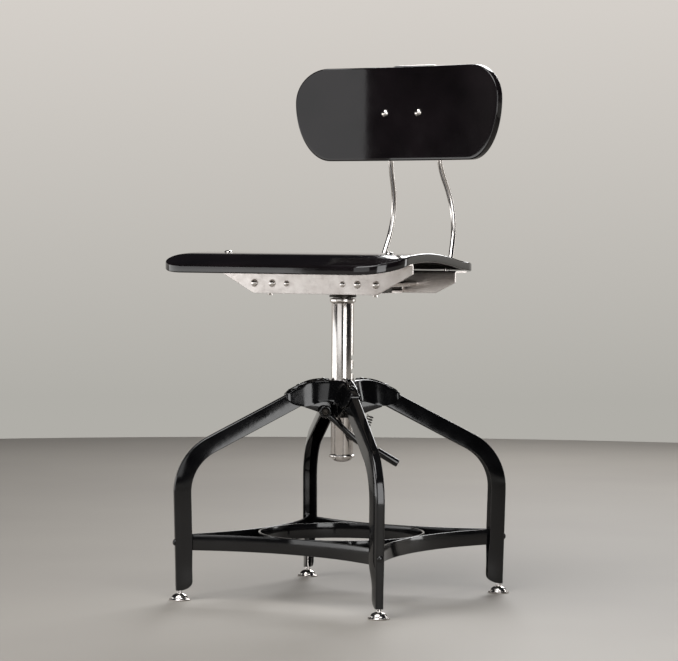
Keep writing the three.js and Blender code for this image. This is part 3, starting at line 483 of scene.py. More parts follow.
def seatUnder(y):
    return seatSize["crown"] - splineThrough(seatSize["drop"], y)


def makeSeat():
    s = seatSize
    lean = math.atan2(s["halfFront"] - s["halfRear"], s["front"] + s["rear"] - s["frontCorner"])
    ahead, behind = np.linspace(-math.pi / 2, lean, 32), np.linspace(lean, math.pi / 2, 32)
    frontMiddle = s["halfFront"] - s["frontCorner"]
    rearMiddle = s["halfRear"] - s["rearCorner"] * math.cos(lean)
    right = np.vstack([
        np.stack([frontMiddle + s["frontCorner"] * np.cos(ahead),
                  s["frontCorner"] * (1 + np.sin(ahead)) - s["front"]], -1),
        np.stack([rearMiddle + s["rearCorner"] * np.cos(behind),
                  s["rear"] - s["rearCorner"] * (1 - np.sin(behind))], -1),
    ])
    outline = spaced(np.vstack([right, right[::-1] * np.array([-1, 1])]), 360, closed=True)

    def place(x, y, depth):
        return np.stack([x, y, seatUnder(y) + s["thickness"] - depth], -1)

    part = plateSkin(outline, place, s["thickness"], s["topEdge"], s["lowEdge"], 26)
    makePiece("seatPanel", part, "seat", "lacquer", ["seat_panel"], 60)


panelSize = {
    "half": 170.4, "top": 752.7, "bottom": 617, "shoulder": 703, "face": 156, "thickness": 11,
    "hollow": 700, "topCorner": 50, "sideCorner": 53, "faceEdge": 1.8, "backEdge": 1.8,
}


def makeBackPanel():
    s = panelSize
    quarter = np.linspace(0, math.pi / 2, 40)
    flatTop, flatLow = s["half"] - s["topCorner"], s["half"] - s["sideCorner"]
    tallTop, tallLow = s["top"] - s["shoulder"], s["shoulder"] - s["bottom"]
    sine, cosine = np.sin(quarter), np.cos(quarter)
    lower = np.stack([flatLow + s["sideCorner"] * sine, s["shoulder"] - tallLow * cosine], -1)
    upper = np.stack([flatTop + s["topCorner"] * cosine, s["shoulder"] + tallTop * sine], -1)
    right = np.vstack([lower, upper[1:]])
    left = right[::-1] * np.array([-1, 1])
    outline = spaced(np.vstack([right, left]), 340, closed=True)
    centre = s["face"] - s["hollow"]

    def place(x, z, depth):
        # the hollow face is part of an upright cylinder in front of the chair
        turn = np.arcsin(x / s["hollow"])
        reach = s["hollow"] + depth
        return np.stack([reach * np.sin(turn), centre + reach * np.cos(turn), z], -1)

    part = plateSkin(outline, place, s["thickness"], s["faceEdge"], s["backEdge"], 24)
    makePiece("backPanel", part, "back", "lacquer", ["back_panel"], 60)


bracketSize = {
    "sheet": 2.5, "place": 74, "reach": 30, "bend": 4.0, "edge": 0.45,
    "front": {"top": 470.5, "step": 456, "bottom": 427, "half": 158, "foot": 101},
    "rear": {"top": 459.2, "step": 443, "bottom": 428, "half": 140, "foot": 108},
}


def makeBracket(name, key, sign, node):
    # an L section carried across the chair; its lower edge rises towards both ends
    s, b = bracketSize, bracketSize[key]
    outer, inner = s["place"], s["place"] - s["sheet"]
    tip = outer + s["reach"]
    half = np.linspace(b["foot"], b["half"], 14)
    middle = np.linspace(-b["foot"], b["foot"], 30)
    across = np.concatenate([-half[::-1], middle[1:-1], half])
    rows = []
    for x in across:
        rise = max(abs(x) - b["foot"], 0) / (b["half"] - b["foot"])
        low = b["bottom"] + rise * (b["step"] - b["bottom"])
        corners = [(inner, low), (outer, low), (outer, b["top"] - s["sheet"]), (tip, b["top"] - s["sheet"]),
                   (tip, b["top"]), (inner, b["top"])]
        bends = [s["edge"], s["edge"], s["bend"] - s["sheet"], s["edge"], s["edge"], s["bend"]]
        ring = rounded(corners, bends, 5, closed=True)
        rows.append(stood(ring * np.array([sign, 1]), x))
    part = skin(rows, False, False)
    makePiece(name, part, "seat", "satin_nickel", [node], 30)


plateSize = {"half": 56, "low": 427.3, "sheet": 4.0, "tab": 20, "tabSheet": 2.5, "bend": 2.5, "edge": 0.4}


def makeSwivelPlate():
    # a shallow pan: its turned-up ends stand against the two brackets
    s = plateSize
    end = bracketSize["place"] - bracketSize["sheet"] - gap
    low, top = s["low"], s["low"] + s["tab"]
    floorTop, inner = s["low"] + s["sheet"], end - s["tabSheet"]
    corners = [(-end, low), (end, low), (end, top), (inner, top), (inner, floorTop), (-inner, floorTop),
               (-inner, top), (-end, top)]
    outer, lip = s["bend"] + 1, 0.5
    bends = [outer, outer, lip, lip, s["bend"], s["bend"], lip, lip]
    ring = rounded(corners, bends, 5, closed=True)
    half, edge = s["half"], s["edge"]
    pan = slab(ring, ((-half, edge), (-half + edge, 0), (half - edge, 0), (half, edge)))
    makePiece("swivelPlate", pan, "seat", "satin_nickel", ["swivel_plate"], 30)


screwRow = {
    "height": 441, "tie": 46, "socket": (70, 100), "shank": 2.6, "bigHead": 5.3, "bigTall": 2.7,
    "smallHead": 4.2, "smallTall": 1.9,
}


def domeScrew(radius, headHeight, length, shank):
    # round head: height follows a flattened quarter circle
    a = np.linspace(0, math.pi / 2, 12)
    head = [(radius * math.cos(t), gap + headHeight * math.sin(t)) for t in a[:-1]]
    shaft = [(0, -length), (shank, -length), (shank, 0.25), (radius, 0.25)]
    return spunSolid(shaft + head + [(0, gap + headHeight)], 40, 0.15)


def makeBracketScrews():
    s = screwRow
    front = -bracketSize["place"]
    rows = [("tieScrew", "tie_screw", s["tie"], s["smallHead"], s["smallTall"], 7),
            ("socketScrewInner", "socket_screw_inner", s["socket"][0], s["bigHead"], s["bigTall"], 12),
            ("socketScrewOuter", "socket_screw_outer", s["socket"][1], s["bigHead"], s["bigTall"], 12)]
    for name, node, across, radius, tall, length in rows:
        for side, sign in (("left", -1), ("right", 1)):
            verts, faces = domeScrew(radius, tall, length, s["shank"])
            verts = aimed(verts, (sign * across, front, s["height"]), (0, -1, 0))
            makePiece(name + side.capitalize(), (verts, faces), "seat", "nickel", [f"{node}_{side}"], 50)


boltSize = {
    "outer": (132, -92), "inner": (85, -84), "rear": (112, 92), "shank": 3.0, "head": 5.75, "tall": 2.6,
    "hang": 8.4, "blindHang": 6.4, "blindDepth": 8, "washer": 6.2, "washerTall": 0.9, "nut": 10.4,
    "nutTall": 5.2,
}


def makeSeatBolts():
    s = boltSize
    nodeNames = {"outer": "seat_bolt_front_outer", "inner": "seat_bolt_front_inner", "rear": "seat_bolt_rear"}
    for key, nodeName in nodeNames.items():
        x, y = s[key]
        under = bracketSize["front" if y < 0 else "rear"]["top"] - bracketSize["sheet"] - gap
        wood = seatUnder(np.array([y - 1.0, y, y + 1.0]))
        slope, over = float(wood[2] - wood[0]) / 2, float(wood[1]) + seatSize["thickness"] + 0.1
        a = np.linspace(0, math.pi / 2, 12)
        head = [(s["head"] * math.cos(t), s["tall"] * math.sin(t)) for t in a[:-1]]
        neck = [(0, -s["shank"]), (s["shank"], -s["shank"]), (s["shank"], 0), (s["head"], 0)]
        dome = spunSolid(neck + head + [(0, s["tall"])], 40, 0.12)
        blind = key == "inner"
        low, high = under - s["hang"], over - 1
        if blind:
            low, high = under - s["blindHang"], over - seatSize["thickness"] + s["blindDepth"]
        point = [(0, low), (s["shank"] - 0.5, low), (s["shank"], low + 0.6)]
        shank = spunSolid(point + [(s["shank"], high), (0, high)], 28, 0.1)
        nut = hexNut(s["nut"], low if blind else under - s["nutTall"], under - s["washerTall"])
        washer = disc(s["washer"], under - s["washerTall"], under, 36, 0.2)
        for side, sign in (("left", -1), ("right", 1)):
            parts = [(np.asarray(v) + np.array([sign * x, y, 0]), f) for v, f in (shank, nut, washer)]
            if not blind:
                parts.append((aimed(dome[0], (sign * x, y, over), (0, -slope, 1)), dome[1]))
            name = f"seatBolt{key.capitalize()}{side.capitalize()}"
            makePiece(name, joinedParts(*parts), "seat", "nickel", [f"{nodeName}_{side}"], 35)


rivetSize = {"head": 4.4, "tall": 3.0, "length": 4.0, "shank": 2.2, "strapHeight": 80.7, "innerShare": 0.9}


def makeRivets():
    s = rivetSize
    verts, faces = domeScrew(s["head"], s["tall"], s["length"], s["shank"])
    slope = math.radians(legSize["slope"])
    normal = (math.sin(slope), 0, math.cos(slope))
    reach = hubSize["rivet"]
    sloped = aimed(verts, (reach, 0, legLine(reach, hubSize["sheet"] + 0.1)), normal)
    inner = aimed(verts * s["innerShare"], (hubSize["innerRivet"], 0, hubSize["top"] - 0.2), (0, 0, 1))
    out = aimed(verts, (legEdgeAt(s["strapHeight"]) - 0.2, 0, s["strapHeight"]), (1, 0, 0.02))
    for corner in legTurns:
        ontoLeg(corner, "hubRivet", "hub_rivet", sloped, faces, "enamel", 50)
        ontoLeg(corner, "hubInnerRivet", "", inner, faces, "enamel", 50)
        ontoLeg(corner, "strapRivet", "strap_rivet", out, faces, "enamel", 50)


legSize = {
    "start": 20.5, "shoulder": 45, "shoulderBend": 60, "slope": 27.5, "knee": 240, "kneeBend": 85,
    "foot": 235.3, "footHeight": 13.6, "webHalf": 5.0, "depth": 23.0, "flare": 0.24, "sheet": 2.0,
    "pinchTop": 78, "pinchBottom": 38, "webBend": 2.2,
}
hubSize = {
    "top": 306, "sheet": 2.0, "length": 82, "bore": 16.5, "half": 7.6, "fillet": 40,
    "edge": 3.2, "rivet": 63, "innerRivet": 27.5, "sleeveLow": 253, "sleeveWall": 3.0, "sleeveBore": 16.2,
}
flatLine = hubSize["top"] - hubSize["sheet"] - gap
kneeHeight = flatLine - math.tan(math.radians(legSize["slope"])) * (legSize["knee"] - legSize["shoulder"])


def legLine(radius, lift=0.0):
    # flat by the post, then an arc of the shoulder bend, then a straight slope; lift is square to it
    slope = math.radians(legSize["slope"])
    radius = np.asarray(radius, float)
    start = legSize["shoulder"] - legSize["shoulderBend"] * math.tan(slope / 2)
    bend = legSize["shoulderBend"] + lift
    arc = flatLine - legSize["shoulderBend"] + np.sqrt(np.maximum(bend ** 2 - (radius - start) ** 2, 0))
    straight = kneeHeight + math.tan(slope) * (legSize["knee"] - radius) + lift / math.cos(slope)
    out = np.where(radius < start + bend * math.sin(slope), arc, straight)
    out = np.where(radius <= start, flatLine + lift, out)
    return float(out) if out.ndim == 0 else out


def legEdgeAt(height):
    share = (kneeHeight - height) / (kneeHeight - legSize["footHeight"])
    return legSize["knee"] + (legSize["foot"] - legSize["knee"]) * share


def makeLegs():
    # a U section carried down the leg: the flare closes towards the foot, and its depth follows a
    # quarter circle up from the floor end
    s = legSize
    corners = [(s["start"], flatLine), (s["shoulder"], flatLine), (s["knee"], kneeHeight),
               (s["foot"], s["footHeight"])]
    run = rounded(corners, [0, s["shoulderBend"], s["kneeBend"], 0], 26)
    low = run[-2]
    heights = np.concatenate([np.linspace(low[1], s["pinchTop"], 8)[1:-1], np.linspace(s["pinchTop"], 28, 16),
                              s["footHeight"] + 12.4 * (1 - np.sin(np.linspace(0, math.pi / 2, 12)))])
    share = (low[1] - heights) / (low[1] - run[-1][1])
    below = low + share[:, None] * (run[-1] - low)
    run = np.vstack([run[:-1], below])
    along = np.gradient(run, axis=0)
    along /= np.linalg.norm(along, axis=1)[:, None]
    inward = np.stack([along[:, 1], -along[:, 0]], -1)
    rows = []
    for point, into in zip(run, inward):
        closing = np.clip((s["pinchTop"] - point[1]) / (s["pinchTop"] - s["pinchBottom"]), 0, 1)
        closing = closing * closing * (3 - 2 * closing)
        flare = s["flare"] * (1 - closing) + 0.02 * closing
        rise = np.clip((point[1] - s["footHeight"]) / 12.4, 0, 1)
        depth = 4.6 + (s["depth"] - 4.6) * math.sqrt(1 - (1 - rise) ** 2)
        web, wall = s["webHalf"] + 0.35, s["sheet"]
        lip = web + flare * depth
        half = [(web, 0), (lip, depth), (lip - wall, depth), (web - wall + flare * wall, wall)]
        corners = half + [(-y, d) for y, d in half[::-1]]
        bends = [s["webBend"], 0.75, 0.75, 1.0, 1.0, 0.75, 0.75, s["webBend"]]
        ring = rounded(corners, bends, 4, closed=True)
        flat = point + ring[:, 1:] * into
        rows.append(np.stack([flat[:, 0], ring[:, 0], flat[:, 1]], -1))
    verts, faces = skin(rows, False, False)
    for corner in legTurns:
        ontoLeg(corner, "leg", "leg", verts, faces, "enamel", 40)


def hubOutline(half, length, fillet, tipBend, steps=22):
    # one quarter of a cross with filleted inner corners, then three turned copies
    inner = half + fillet
    a = np.linspace(-math.pi / 2, -math.pi, steps)
    arc = np.stack([inner + fillet * np.cos(a), inner + fillet * np.sin(a)], -1)
    corner = rounded([(length, 0), (length, half), (inner, half)], [0, tipBend, 0], 6)
    side = spaced(corner, 34)[:-1]
    quarter = np.vstack([side, arc, side[::-1][:, ::-1][:-1]])
    turns = [quarter @ np.array([[math.cos(t), math.sin(t)], [-math.sin(t), math.cos(t)]]) for t in
             np.arange(4) * math.pi / 2]
    return np.vstack(turns)


def alongArm(points):
    return np.max(np.abs(points), axis=1)


# lower edge of the hub's wall: distance from the post and height
skirtLine = [(20, 277.5), (27, 276.5), (38, 273.5), (48, 270.6), (58, 269.4), (66, 270.6), (73, 273.2),
             (78, 276.8), (80.6, 280.2), (82, 282.6)]


def makeHub():
    # every column starts on the bore, crosses the top, turns over the edge and runs down the wall,
    # which leans out as the legs' flanges do
    s = hubSize
    outline = hubOutline(s["half"], s["length"], s["fillet"], 2.0)
    normal = outward(outline)
    lift = s["sheet"] + gap
    reach = alongArm(outline)
    topZ = legLine(reach, lift)
    lowZ = np.minimum(splineThrough(skirtLine, np.clip(reach, skirtLine[0][0], s["length"])), topZ - 2.2)
    tip = np.abs(reach - s["length"]) < 0.4
    lowZ = np.where(tip, topZ - 2.2, lowZ)
    # the rounded edge is smaller where the wall is low and near the tip of an arm
    room = np.minimum((topZ - lowZ) * 0.45, 1.2 + (s["length"] - reach) * 0.4)
    edge = np.minimum(s["edge"], room)
    start = outline / np.linalg.norm(outline, axis=1)[:, None] * s["bore"]
    shoulder = outline - normal * edge[:, None]
    rows = []
    for t in np.linspace(0, 1, 16):
        flat = start + (shoulder - start) * t
        rows.append(np.column_stack([flat, legLine(alongArm(flat), lift)]))
    lean = math.atan(legSize["flare"])
    for a in np.linspace(0, math.pi / 2 - lean, 7)[1:]:
        flat = shoulder + normal * (edge * math.sin(a))[:, None]
        rows.append(np.column_stack([flat, topZ - edge * (1 - math.cos(a))]))
    turnEnd = rows[-1]
    for t in np.linspace(0, 1, 9)[1:]:
        z = turnEnd[:, 2] + (lowZ - turnEnd[:, 2]) * t
        flat = turnEnd[:, :2] + normal * (legSize["flare"] * (turnEnd[:, 2] - z))[:, None]
        rows.append(np.column_stack([flat, z]))
    rows = np.array(rows)
    n, m = rows.shape[:2]
    i, j = np.meshgrid(np.arange(n - 1), np.arange(m), indexing="ij")
    k = (j + 1) % m
    faces = np.stack([i * m + j, i * m + k, (i + 1) * m + k, (i + 1) * m + j], -1).reshape(-1, 4).tolist()
    verts = turnZ(rows.reshape(-1, 3), 45)
    hub = makePiece("hubShell", (verts, faces), "base", "enamel", ["hub_shell"], 60)
    thicken(hub, s["sheet"] - 0.2, 0.35)
    bore, sleeveTop = s["sleeveBore"], s["top"] - s["sheet"] - 0.4
    sleeve = tubeWall(bore, bore + s["sleeveWall"], s["sleeveLow"], sleeveTop, 72, 0.6)
    makePiece("hubSleeve", sleeve, "base", "enamel", ["hub_sleeve"], 40)


dishSize = {"half": 10.9, "wall": 2.0, "line": [(18.6, 253.2), (27, 257), (36, 261), (46, 264.5), (55, 267.4)]}


def makeHubDish():
    # a tray under each leg: floor on the dish line, walls up to the leg's flanges
    s = dishSize
    parts = []
    slopeCos = math.cos(math.radians(legSize["slope"]))
    for turn in legTurns.values():
        rows = []
        for reach in np.linspace(s["line"][0][0], s["line"][-1][0], 16):
            low = float(np.interp(reach, *np.array(s["line"]).T))
            high = max(legLine(reach) - legSize["depth"] / slopeCos - 0.6, low + 1.4)
            half, wall = s["half"], s["wall"]
            floorTop = min(low + wall, high - 0.2)
            corners = [(-half, low), (half, low), (half, high), (half - wall, high), (half - wall, floorTop),
                       (-half + wall, floorTop), (-half + wall, high), (-half, high)]
            bends = [1.2, 1.2, 0.1, 0.1, 0.1, 0.1, 0.1, 0.1]
            ring = rounded(corners, bends, 3, closed=True)
            rows.append(stood(ring, reach))
        verts, faces = skin(rows, False, False)
        parts.append((turnZ(verts, turn), faces))
    makePiece("hubDish", joinedParts(*parts), "base", "enamel", (), 40)


restSize = {"ring": 117, "ringWall": 3.0, "strapWall": 2.5, "top": 91.7, "tall": 22, "edge": 0.8}


def makeFootrest():
    s = restSize
    low = s["top"] - s["tall"]
    hoop = tubeWall(s["ring"] - s["ringWall"], s["ring"], low, s["top"], 160, s["edge"])
    makePiece("footrestRing", hoop, "base", "enamel", ["footrest_ring"], 40)
    # each strap is an arc that touches the ring, then runs into both legs; one end has a bent tab
    tab = legEdgeAt(low) - legSize["sheet"] - gap - s["strapWall"] / 2
    side = legSize["webHalf"] - legSize["sheet"] - gap - s["strapWall"] / 2 + 0.25
    root = math.sqrt(0.5)

    def nearLeg(radius, across):
        return np.array([(radius - across) * root, (radius + across) * root])

    entry = nearLeg(tab - 21.6, -5.2)
    middle = s["ring"] + gap + s["strapWall"] / 2
    rise = entry[0] - middle
    bend = (entry[1] ** 2 + rise ** 2) / (2 * rise)
    sweep = math.asin(entry[1] / bend)
    a = np.linspace(-sweep, sweep, 61)
    arc = np.stack([middle + bend * (1 - np.cos(a)), bend * np.sin(a)], -1)
    butt = nearLeg(tab - s["strapWall"] / 2 - gap, -side) * np.array([1, -1])
    tabRun = rounded([entry, nearLeg(tab, -side), nearLeg(tab, side + s["strapWall"] / 2)], [0, 1.6, 0], 5)[1:]
    plan = np.vstack([[butt], arc, tabRun])
    path = np.column_stack([plan, np.full(len(plan), s["top"] - s["tall"] / 2)])
    section = box(s["strapWall"] / 2, s["tall"] / 2, s["edge"])
    part = swept(path, section, poles=(False, False))
    for i, name in enumerate(("right", "rear", "left", "front")):
        verts = turnZ(part[0], 90 * i)
        makePiece(f"strap{name.capitalize()}", (verts, part[1]), "base", "enamel", [f"strap_{name}"], 40)


glideSize = {"disc": 15, "dome": 12, "discTall": 2.6, "top": 12.2, "stem": 3.0, "stemTop": 34}


def makeGlides():
    s = glideSize
    a = np.linspace(0.12, math.pi / 2 - 0.36, 12)
    dome = [(s["dome"] * math.cos(t), s["discTall"] + 7.6 * math.sin(t)) for t in a]
    profile = [(0, 0), (s["disc"] - 0.6, 0), (s["disc"], 0.9), (s["disc"], 1.7), (s["disc"] - 0.9, 2.5),
               (s["dome"] + 0.3, s["discTall"])] + dome + [(4.0, 10.6), (4.0, s["top"]), (s["stem"], s["top"]),
               (s["stem"], s["stemTop"]), (0, s["stemTop"])]
    verts, faces = spunSolid(profile, 64, 0.3)
    reach = legSize["foot"] - legSize["sheet"] - gap - s["stem"]
    verts = verts + np.array([reach, 0, 0])
    for corner in legTurns:
        ontoLeg(corner, "glide", "glide", verts, faces, "nickel", 34, f"glide_{corner}_body")


postSize = {
    "radius": 15.875, "wall": 2.4, "top": 413.2, "bottom": 201, "notch": 4.6, "pitch": 19.05,
    "firstNotch": 337, "notches": 6, "latchTurn": 32, "spindle": 8.0, "washer": 19, "washerTall": 3.1,
    "spindleFlange": 15, "spindleWasher": 13, "spindleNut": 22,
}


def makePost():
    s = postSize
    inner = s["radius"] - s["wall"]
    wall = tubeWall(inner, s["radius"], s["bottom"], s["top"], 128, 0.4)
    tube = makePiece("postTube", wall, "column", "nickel", ["post_tube"], 30)
    cutters = []
    for i in range(s["notches"]):
        height = s["firstNotch"] - i * s["pitch"]
        bar = np.array([[s["radius"] + 0.6, y, height] for y in (-14.0, 14.0)])
        verts, faces = swept(bar, circle(s["notch"], 40), poles=(False, False))
        cutters.append((turnZ(verts, s["latchTurn"]), faces))
    cutAway(tube, cutters, 30)
    r, top = s["radius"], s["top"]
    bearing = s["spindle"] + 0.35
    collar = [(bearing, top - 26), (inner - gap, top - 26), (inner - gap, top + gap), (r + 0.2, top + gap),
              (r + 1.0, top + 1.2), (r + 2.6, top + 2.5), (r + 2.6, top + 5.4), (r + 1.4, top + 6.6),
              (14.2, top + 6.9), (14.2, top + 8.1), (bearing, top + 8.1)]
    makePiece("postCollar", spunHollow(collar, 96, 0.4), "column", "nickel", ["post_collar"], 34)
    low = s["bottom"]
    a = np.linspace(0, math.pi / 2, 10)
    cap = [(14.8 * math.sin(t), low - 4.6 - 6.8 * math.cos(t)) for t in a]
    foot = [(0, cap[0][1])] + cap[1:] + [(15.4, low - 4.6), (18, low - 4.4), (18, low - 1.4), (16.9, low - 0.6),
            (16.6, low - gap), (inner - gap, low - gap), (inner - gap, low + 16), (0, low + 16)]
    makePiece("postFoot", spunSolid(foot, 96, 0.35), "column", "nickel", ["post_foot"], 34)


def makeSwivel():
    s = postSize
    low = s["top"] + 8.4
    washer = tubeWall(s["spindle"] + 0.35, s["washer"], low, low + s["washerTall"], 96, 0.5)
    makePiece("thrustWasher", washer, "seat", "dark_steel", ["thrust_washer"], 34)
    inner = s["radius"] - s["wall"]
    plateTop = plateSize["low"] + plateSize["sheet"]
    r, flange = s["spindle"], s["spindleFlange"]
    flangeLow, flangeHigh = low + s["washerTall"] + gap, plateSize["low"] - gap
    shaft = [(0, s["top"] - 64), (inner - 0.6, s["top"] - 64), (inner - 0.6, s["top"] - 58), (r, s["top"] - 58),
             (r, flangeLow), (flange, flangeLow), (flange, flangeHigh), (r, flangeHigh),
             (r, plateTop + 8.4), (r - 1, plateTop + 9.0), (0, plateTop + 9.0)]
    nut = hexNut(s["spindleNut"], plateTop + 1.6, plateTop + 8.0)
    flat = disc(s["spindleWasher"], plateTop + 0.2, plateTop + 1.6, 48, 0.3)
    part = joinedParts(spunSolid(shaft, 64, 0.3), nut, flat)
    makePiece("swivelSpindle", part, "seat", "satin_nickel", ["swivel_spindle"], 34)


rodSize = {
    "radius": 3.97, "frontPlace": 87.5, "frontEnd": -62, "height": 441, "turn": (61.4, 186.5), "turnBend": 24,
    "bow": (50.8, 228.5, 542.8), "bowBend": 105, "neckBend": 110, "half": 41, "upright": 193, "straight": 611.5,
    "top": 753, "topBend": 12,
}


def rodCorners(sign):
    s = rodSize
    front, turn = (s["frontPlace"], s["frontEnd"], s["height"]), (*s["turn"], s["height"])
    neck, top = (s["half"], s["upright"], s["straight"]), (s["half"], s["upright"], s["top"])
    return [(sign * x, y, z) for x, y, z in (front, turn, s["bow"], neck, top)]


def makeBackRod():
    s = rodSize
    corners = rodCorners(-1) + rodCorners(1)[::-1]
    bends = [0, s["turnBend"], s["bowBend"], s["neckBend"], s["topBend"]]
    path = rounded(corners, bends + bends[::-1], 14)
    makePiece("backRod", rodWithEnds(path, s["radius"], 28), "seat", "nickel", ["back_rod"], 50)


socketSize = {
    "inner": 63, "outer": 108, "low": 430, "high": 451, "depth": 28, "edge": 1.6, "screwPlace": 17,
    "screwHead": 7.4,
}


def makeRodSockets():
    s = socketSize
    back = -bracketSize["place"] + bracketSize["sheet"] + gap
    setPlace = back + s["screwPlace"]
    run = (rodSize["turn"][0] - rodSize["frontPlace"]) / (rodSize["turn"][1] - rodSize["frontEnd"])
    halfTall, halfDeep = (s["high"] - s["low"]) / 2, s["depth"] / 2
    section = box(halfDeep, halfTall, s["edge"], 4) + np.array([back + halfDeep, s["low"] + halfTall])
    e = s["edge"]
    for side, sign in (("left", -1), ("right", 1)):
        stops = ((s["inner"], e), (s["inner"] + e * 0.3, e * 0.3), (s["inner"] + e, 0), (s["outer"] - e, 0),
                 (s["outer"] - e * 0.3, e * 0.3), (s["outer"], e))
        block = slab(section, [(sign * x, shrink) for x, shrink in stops])
        makePiece(f"rodSocket{side.capitalize()}", block, "seat", "dark_steel", [f"rod_socket_{side}"], 40)
        x = sign * (rodSize["frontPlace"] + run * (setPlace - rodSize["frontEnd"]))
        shank = disc(screwRow["shank"], s["low"] - 4, rodSize["height"] - rodSize["radius"] - 0.33, 24, 0.1)
        head = hexNut(s["screwHead"], s["low"] - 6.2, s["low"] - 1.6)
        verts, faces = joinedParts(shank, head)
        makePiece(f"rodSetScrew{side.capitalize()}", (verts + np.array([x, setPlace, 0]), faces), "seat",
                  "nickel", [f"rod_set_screw_{side}"], 34)


clampSize = {
    "height": 686, "half": 52, "tall": 10, "screw": 28, "head": 5.6, "plate": 3.0, "edge": 1.2,
    "plateEdge": 0.5, "plateCorner": 5.0, "headTall": 3.4, "nut": 9.2,
}


def makeBackClamp():
    # the block is hollowed to the panel's curve in front and flat behind
    s = clampSize
    panelBack = panelSize["hollow"] + panelSize["thickness"] + gap
    centre = panelSize["face"] - panelSize["hollow"]
    rodFace = rodSize["upright"] - rodSize["radius"] - 0.2
    rodBack = rodSize["upright"] + rodSize["radius"] + 0.2
    rows = []
    flat = s["half"] - s["edge"]
    for x in (-s["half"], *np.linspace(-flat, flat, 24), s["half"]):
        shrink = s["edge"] if abs(x) == s["half"] else 0
        front = centre + math.sqrt(panelBack ** 2 - x * x)
        ring = rounded([(front, -s["tall"]), (rodFace, -s["tall"]), (rodFace, s["tall"]), (front, s["tall"])],
                       s["edge"], 4, closed=True)
        ring = ring - outward(ring) * shrink
        rows.append(stood(ring + np.array([0, s["height"]]), x))
    makePiece("clampBlock", skin(rows, False, False), "back", "satin_nickel", ["clamp_block"], 40)
    ends = box(s["half"], s["tall"], s["plateCorner"], 8)
    e, far = s["plateEdge"], rodBack + s["plate"]
    ends = ends + np.array([0, s["height"]])
    plate = slab(ends, ((rodBack, e), (rodBack + e, 0), (far - e, 0), (far, e)), "y")
    makePiece("clampPlate", plate, "back", "satin_nickel", ["clamp_plate"], 40)
    a = np.linspace(0, math.pi / 2, 14)
    head = [(s["head"] * math.cos(t), gap + s["headTall"] * math.sin(t)) for t in a[:-1]]
    length = rodBack + s["plate"] + 6.4 - panelSize["face"]
    bolt = spunSolid([(0, -length), (2.1, -length), (2.5, -length + 0.6), (2.5, 0.2), (s["head"], 0.2)] + head +
                     [(0, gap + s["headTall"])], 48, 0.15)
    nut = hexNut(s["nut"], -length + 2.0, -length + 6.0)
    for side, sign in (("left", -1), ("right", 1)):
        x = sign * s["screw"]
        face = centre + math.sqrt(panelSize["hollow"] ** 2 - x * x)
        verts, faces = joinedParts(bolt, nut)
        verts = aimed(verts, (x, face, s["height"]), (0, -1, 0))
        makePiece(f"clampScrew{side.capitalize()}", (verts, faces), "back", "nickel",
                  [f"clamp_screw_{side}"], 34)


latchSize = {
    "plane": 24.5, "pivot": (-23, 262), "rod": 3.9, "eye": 6.2, "eyeWire": 2.9,
    "line": [(-18.2, 256.8), (21, 221), (47, 208.6), (72, 193.8)], "bend": 30,
    "handle": 5.4, "handleStart": 2.5, "handleEnd": 36.7, "pawlPlace": 22.6, "pawlHeight": 223.1, "pawl": 3.9,
    "coil": 4.2, "wire": 0.65, "turns": 9, "springTop": (40, -9, 256), "springLow": (29.5, -24.5, 225.2),
    "pin": 2.6, "pinNut": 8.6, "lug": (-20.3, -16.9), "lugHalf": (5, 8), "lugInner": -19.6, "lugEdge": 0.6,
}


def inLatch(point):
    return np.array([point[0], -latchSize["plane"], point[1]])


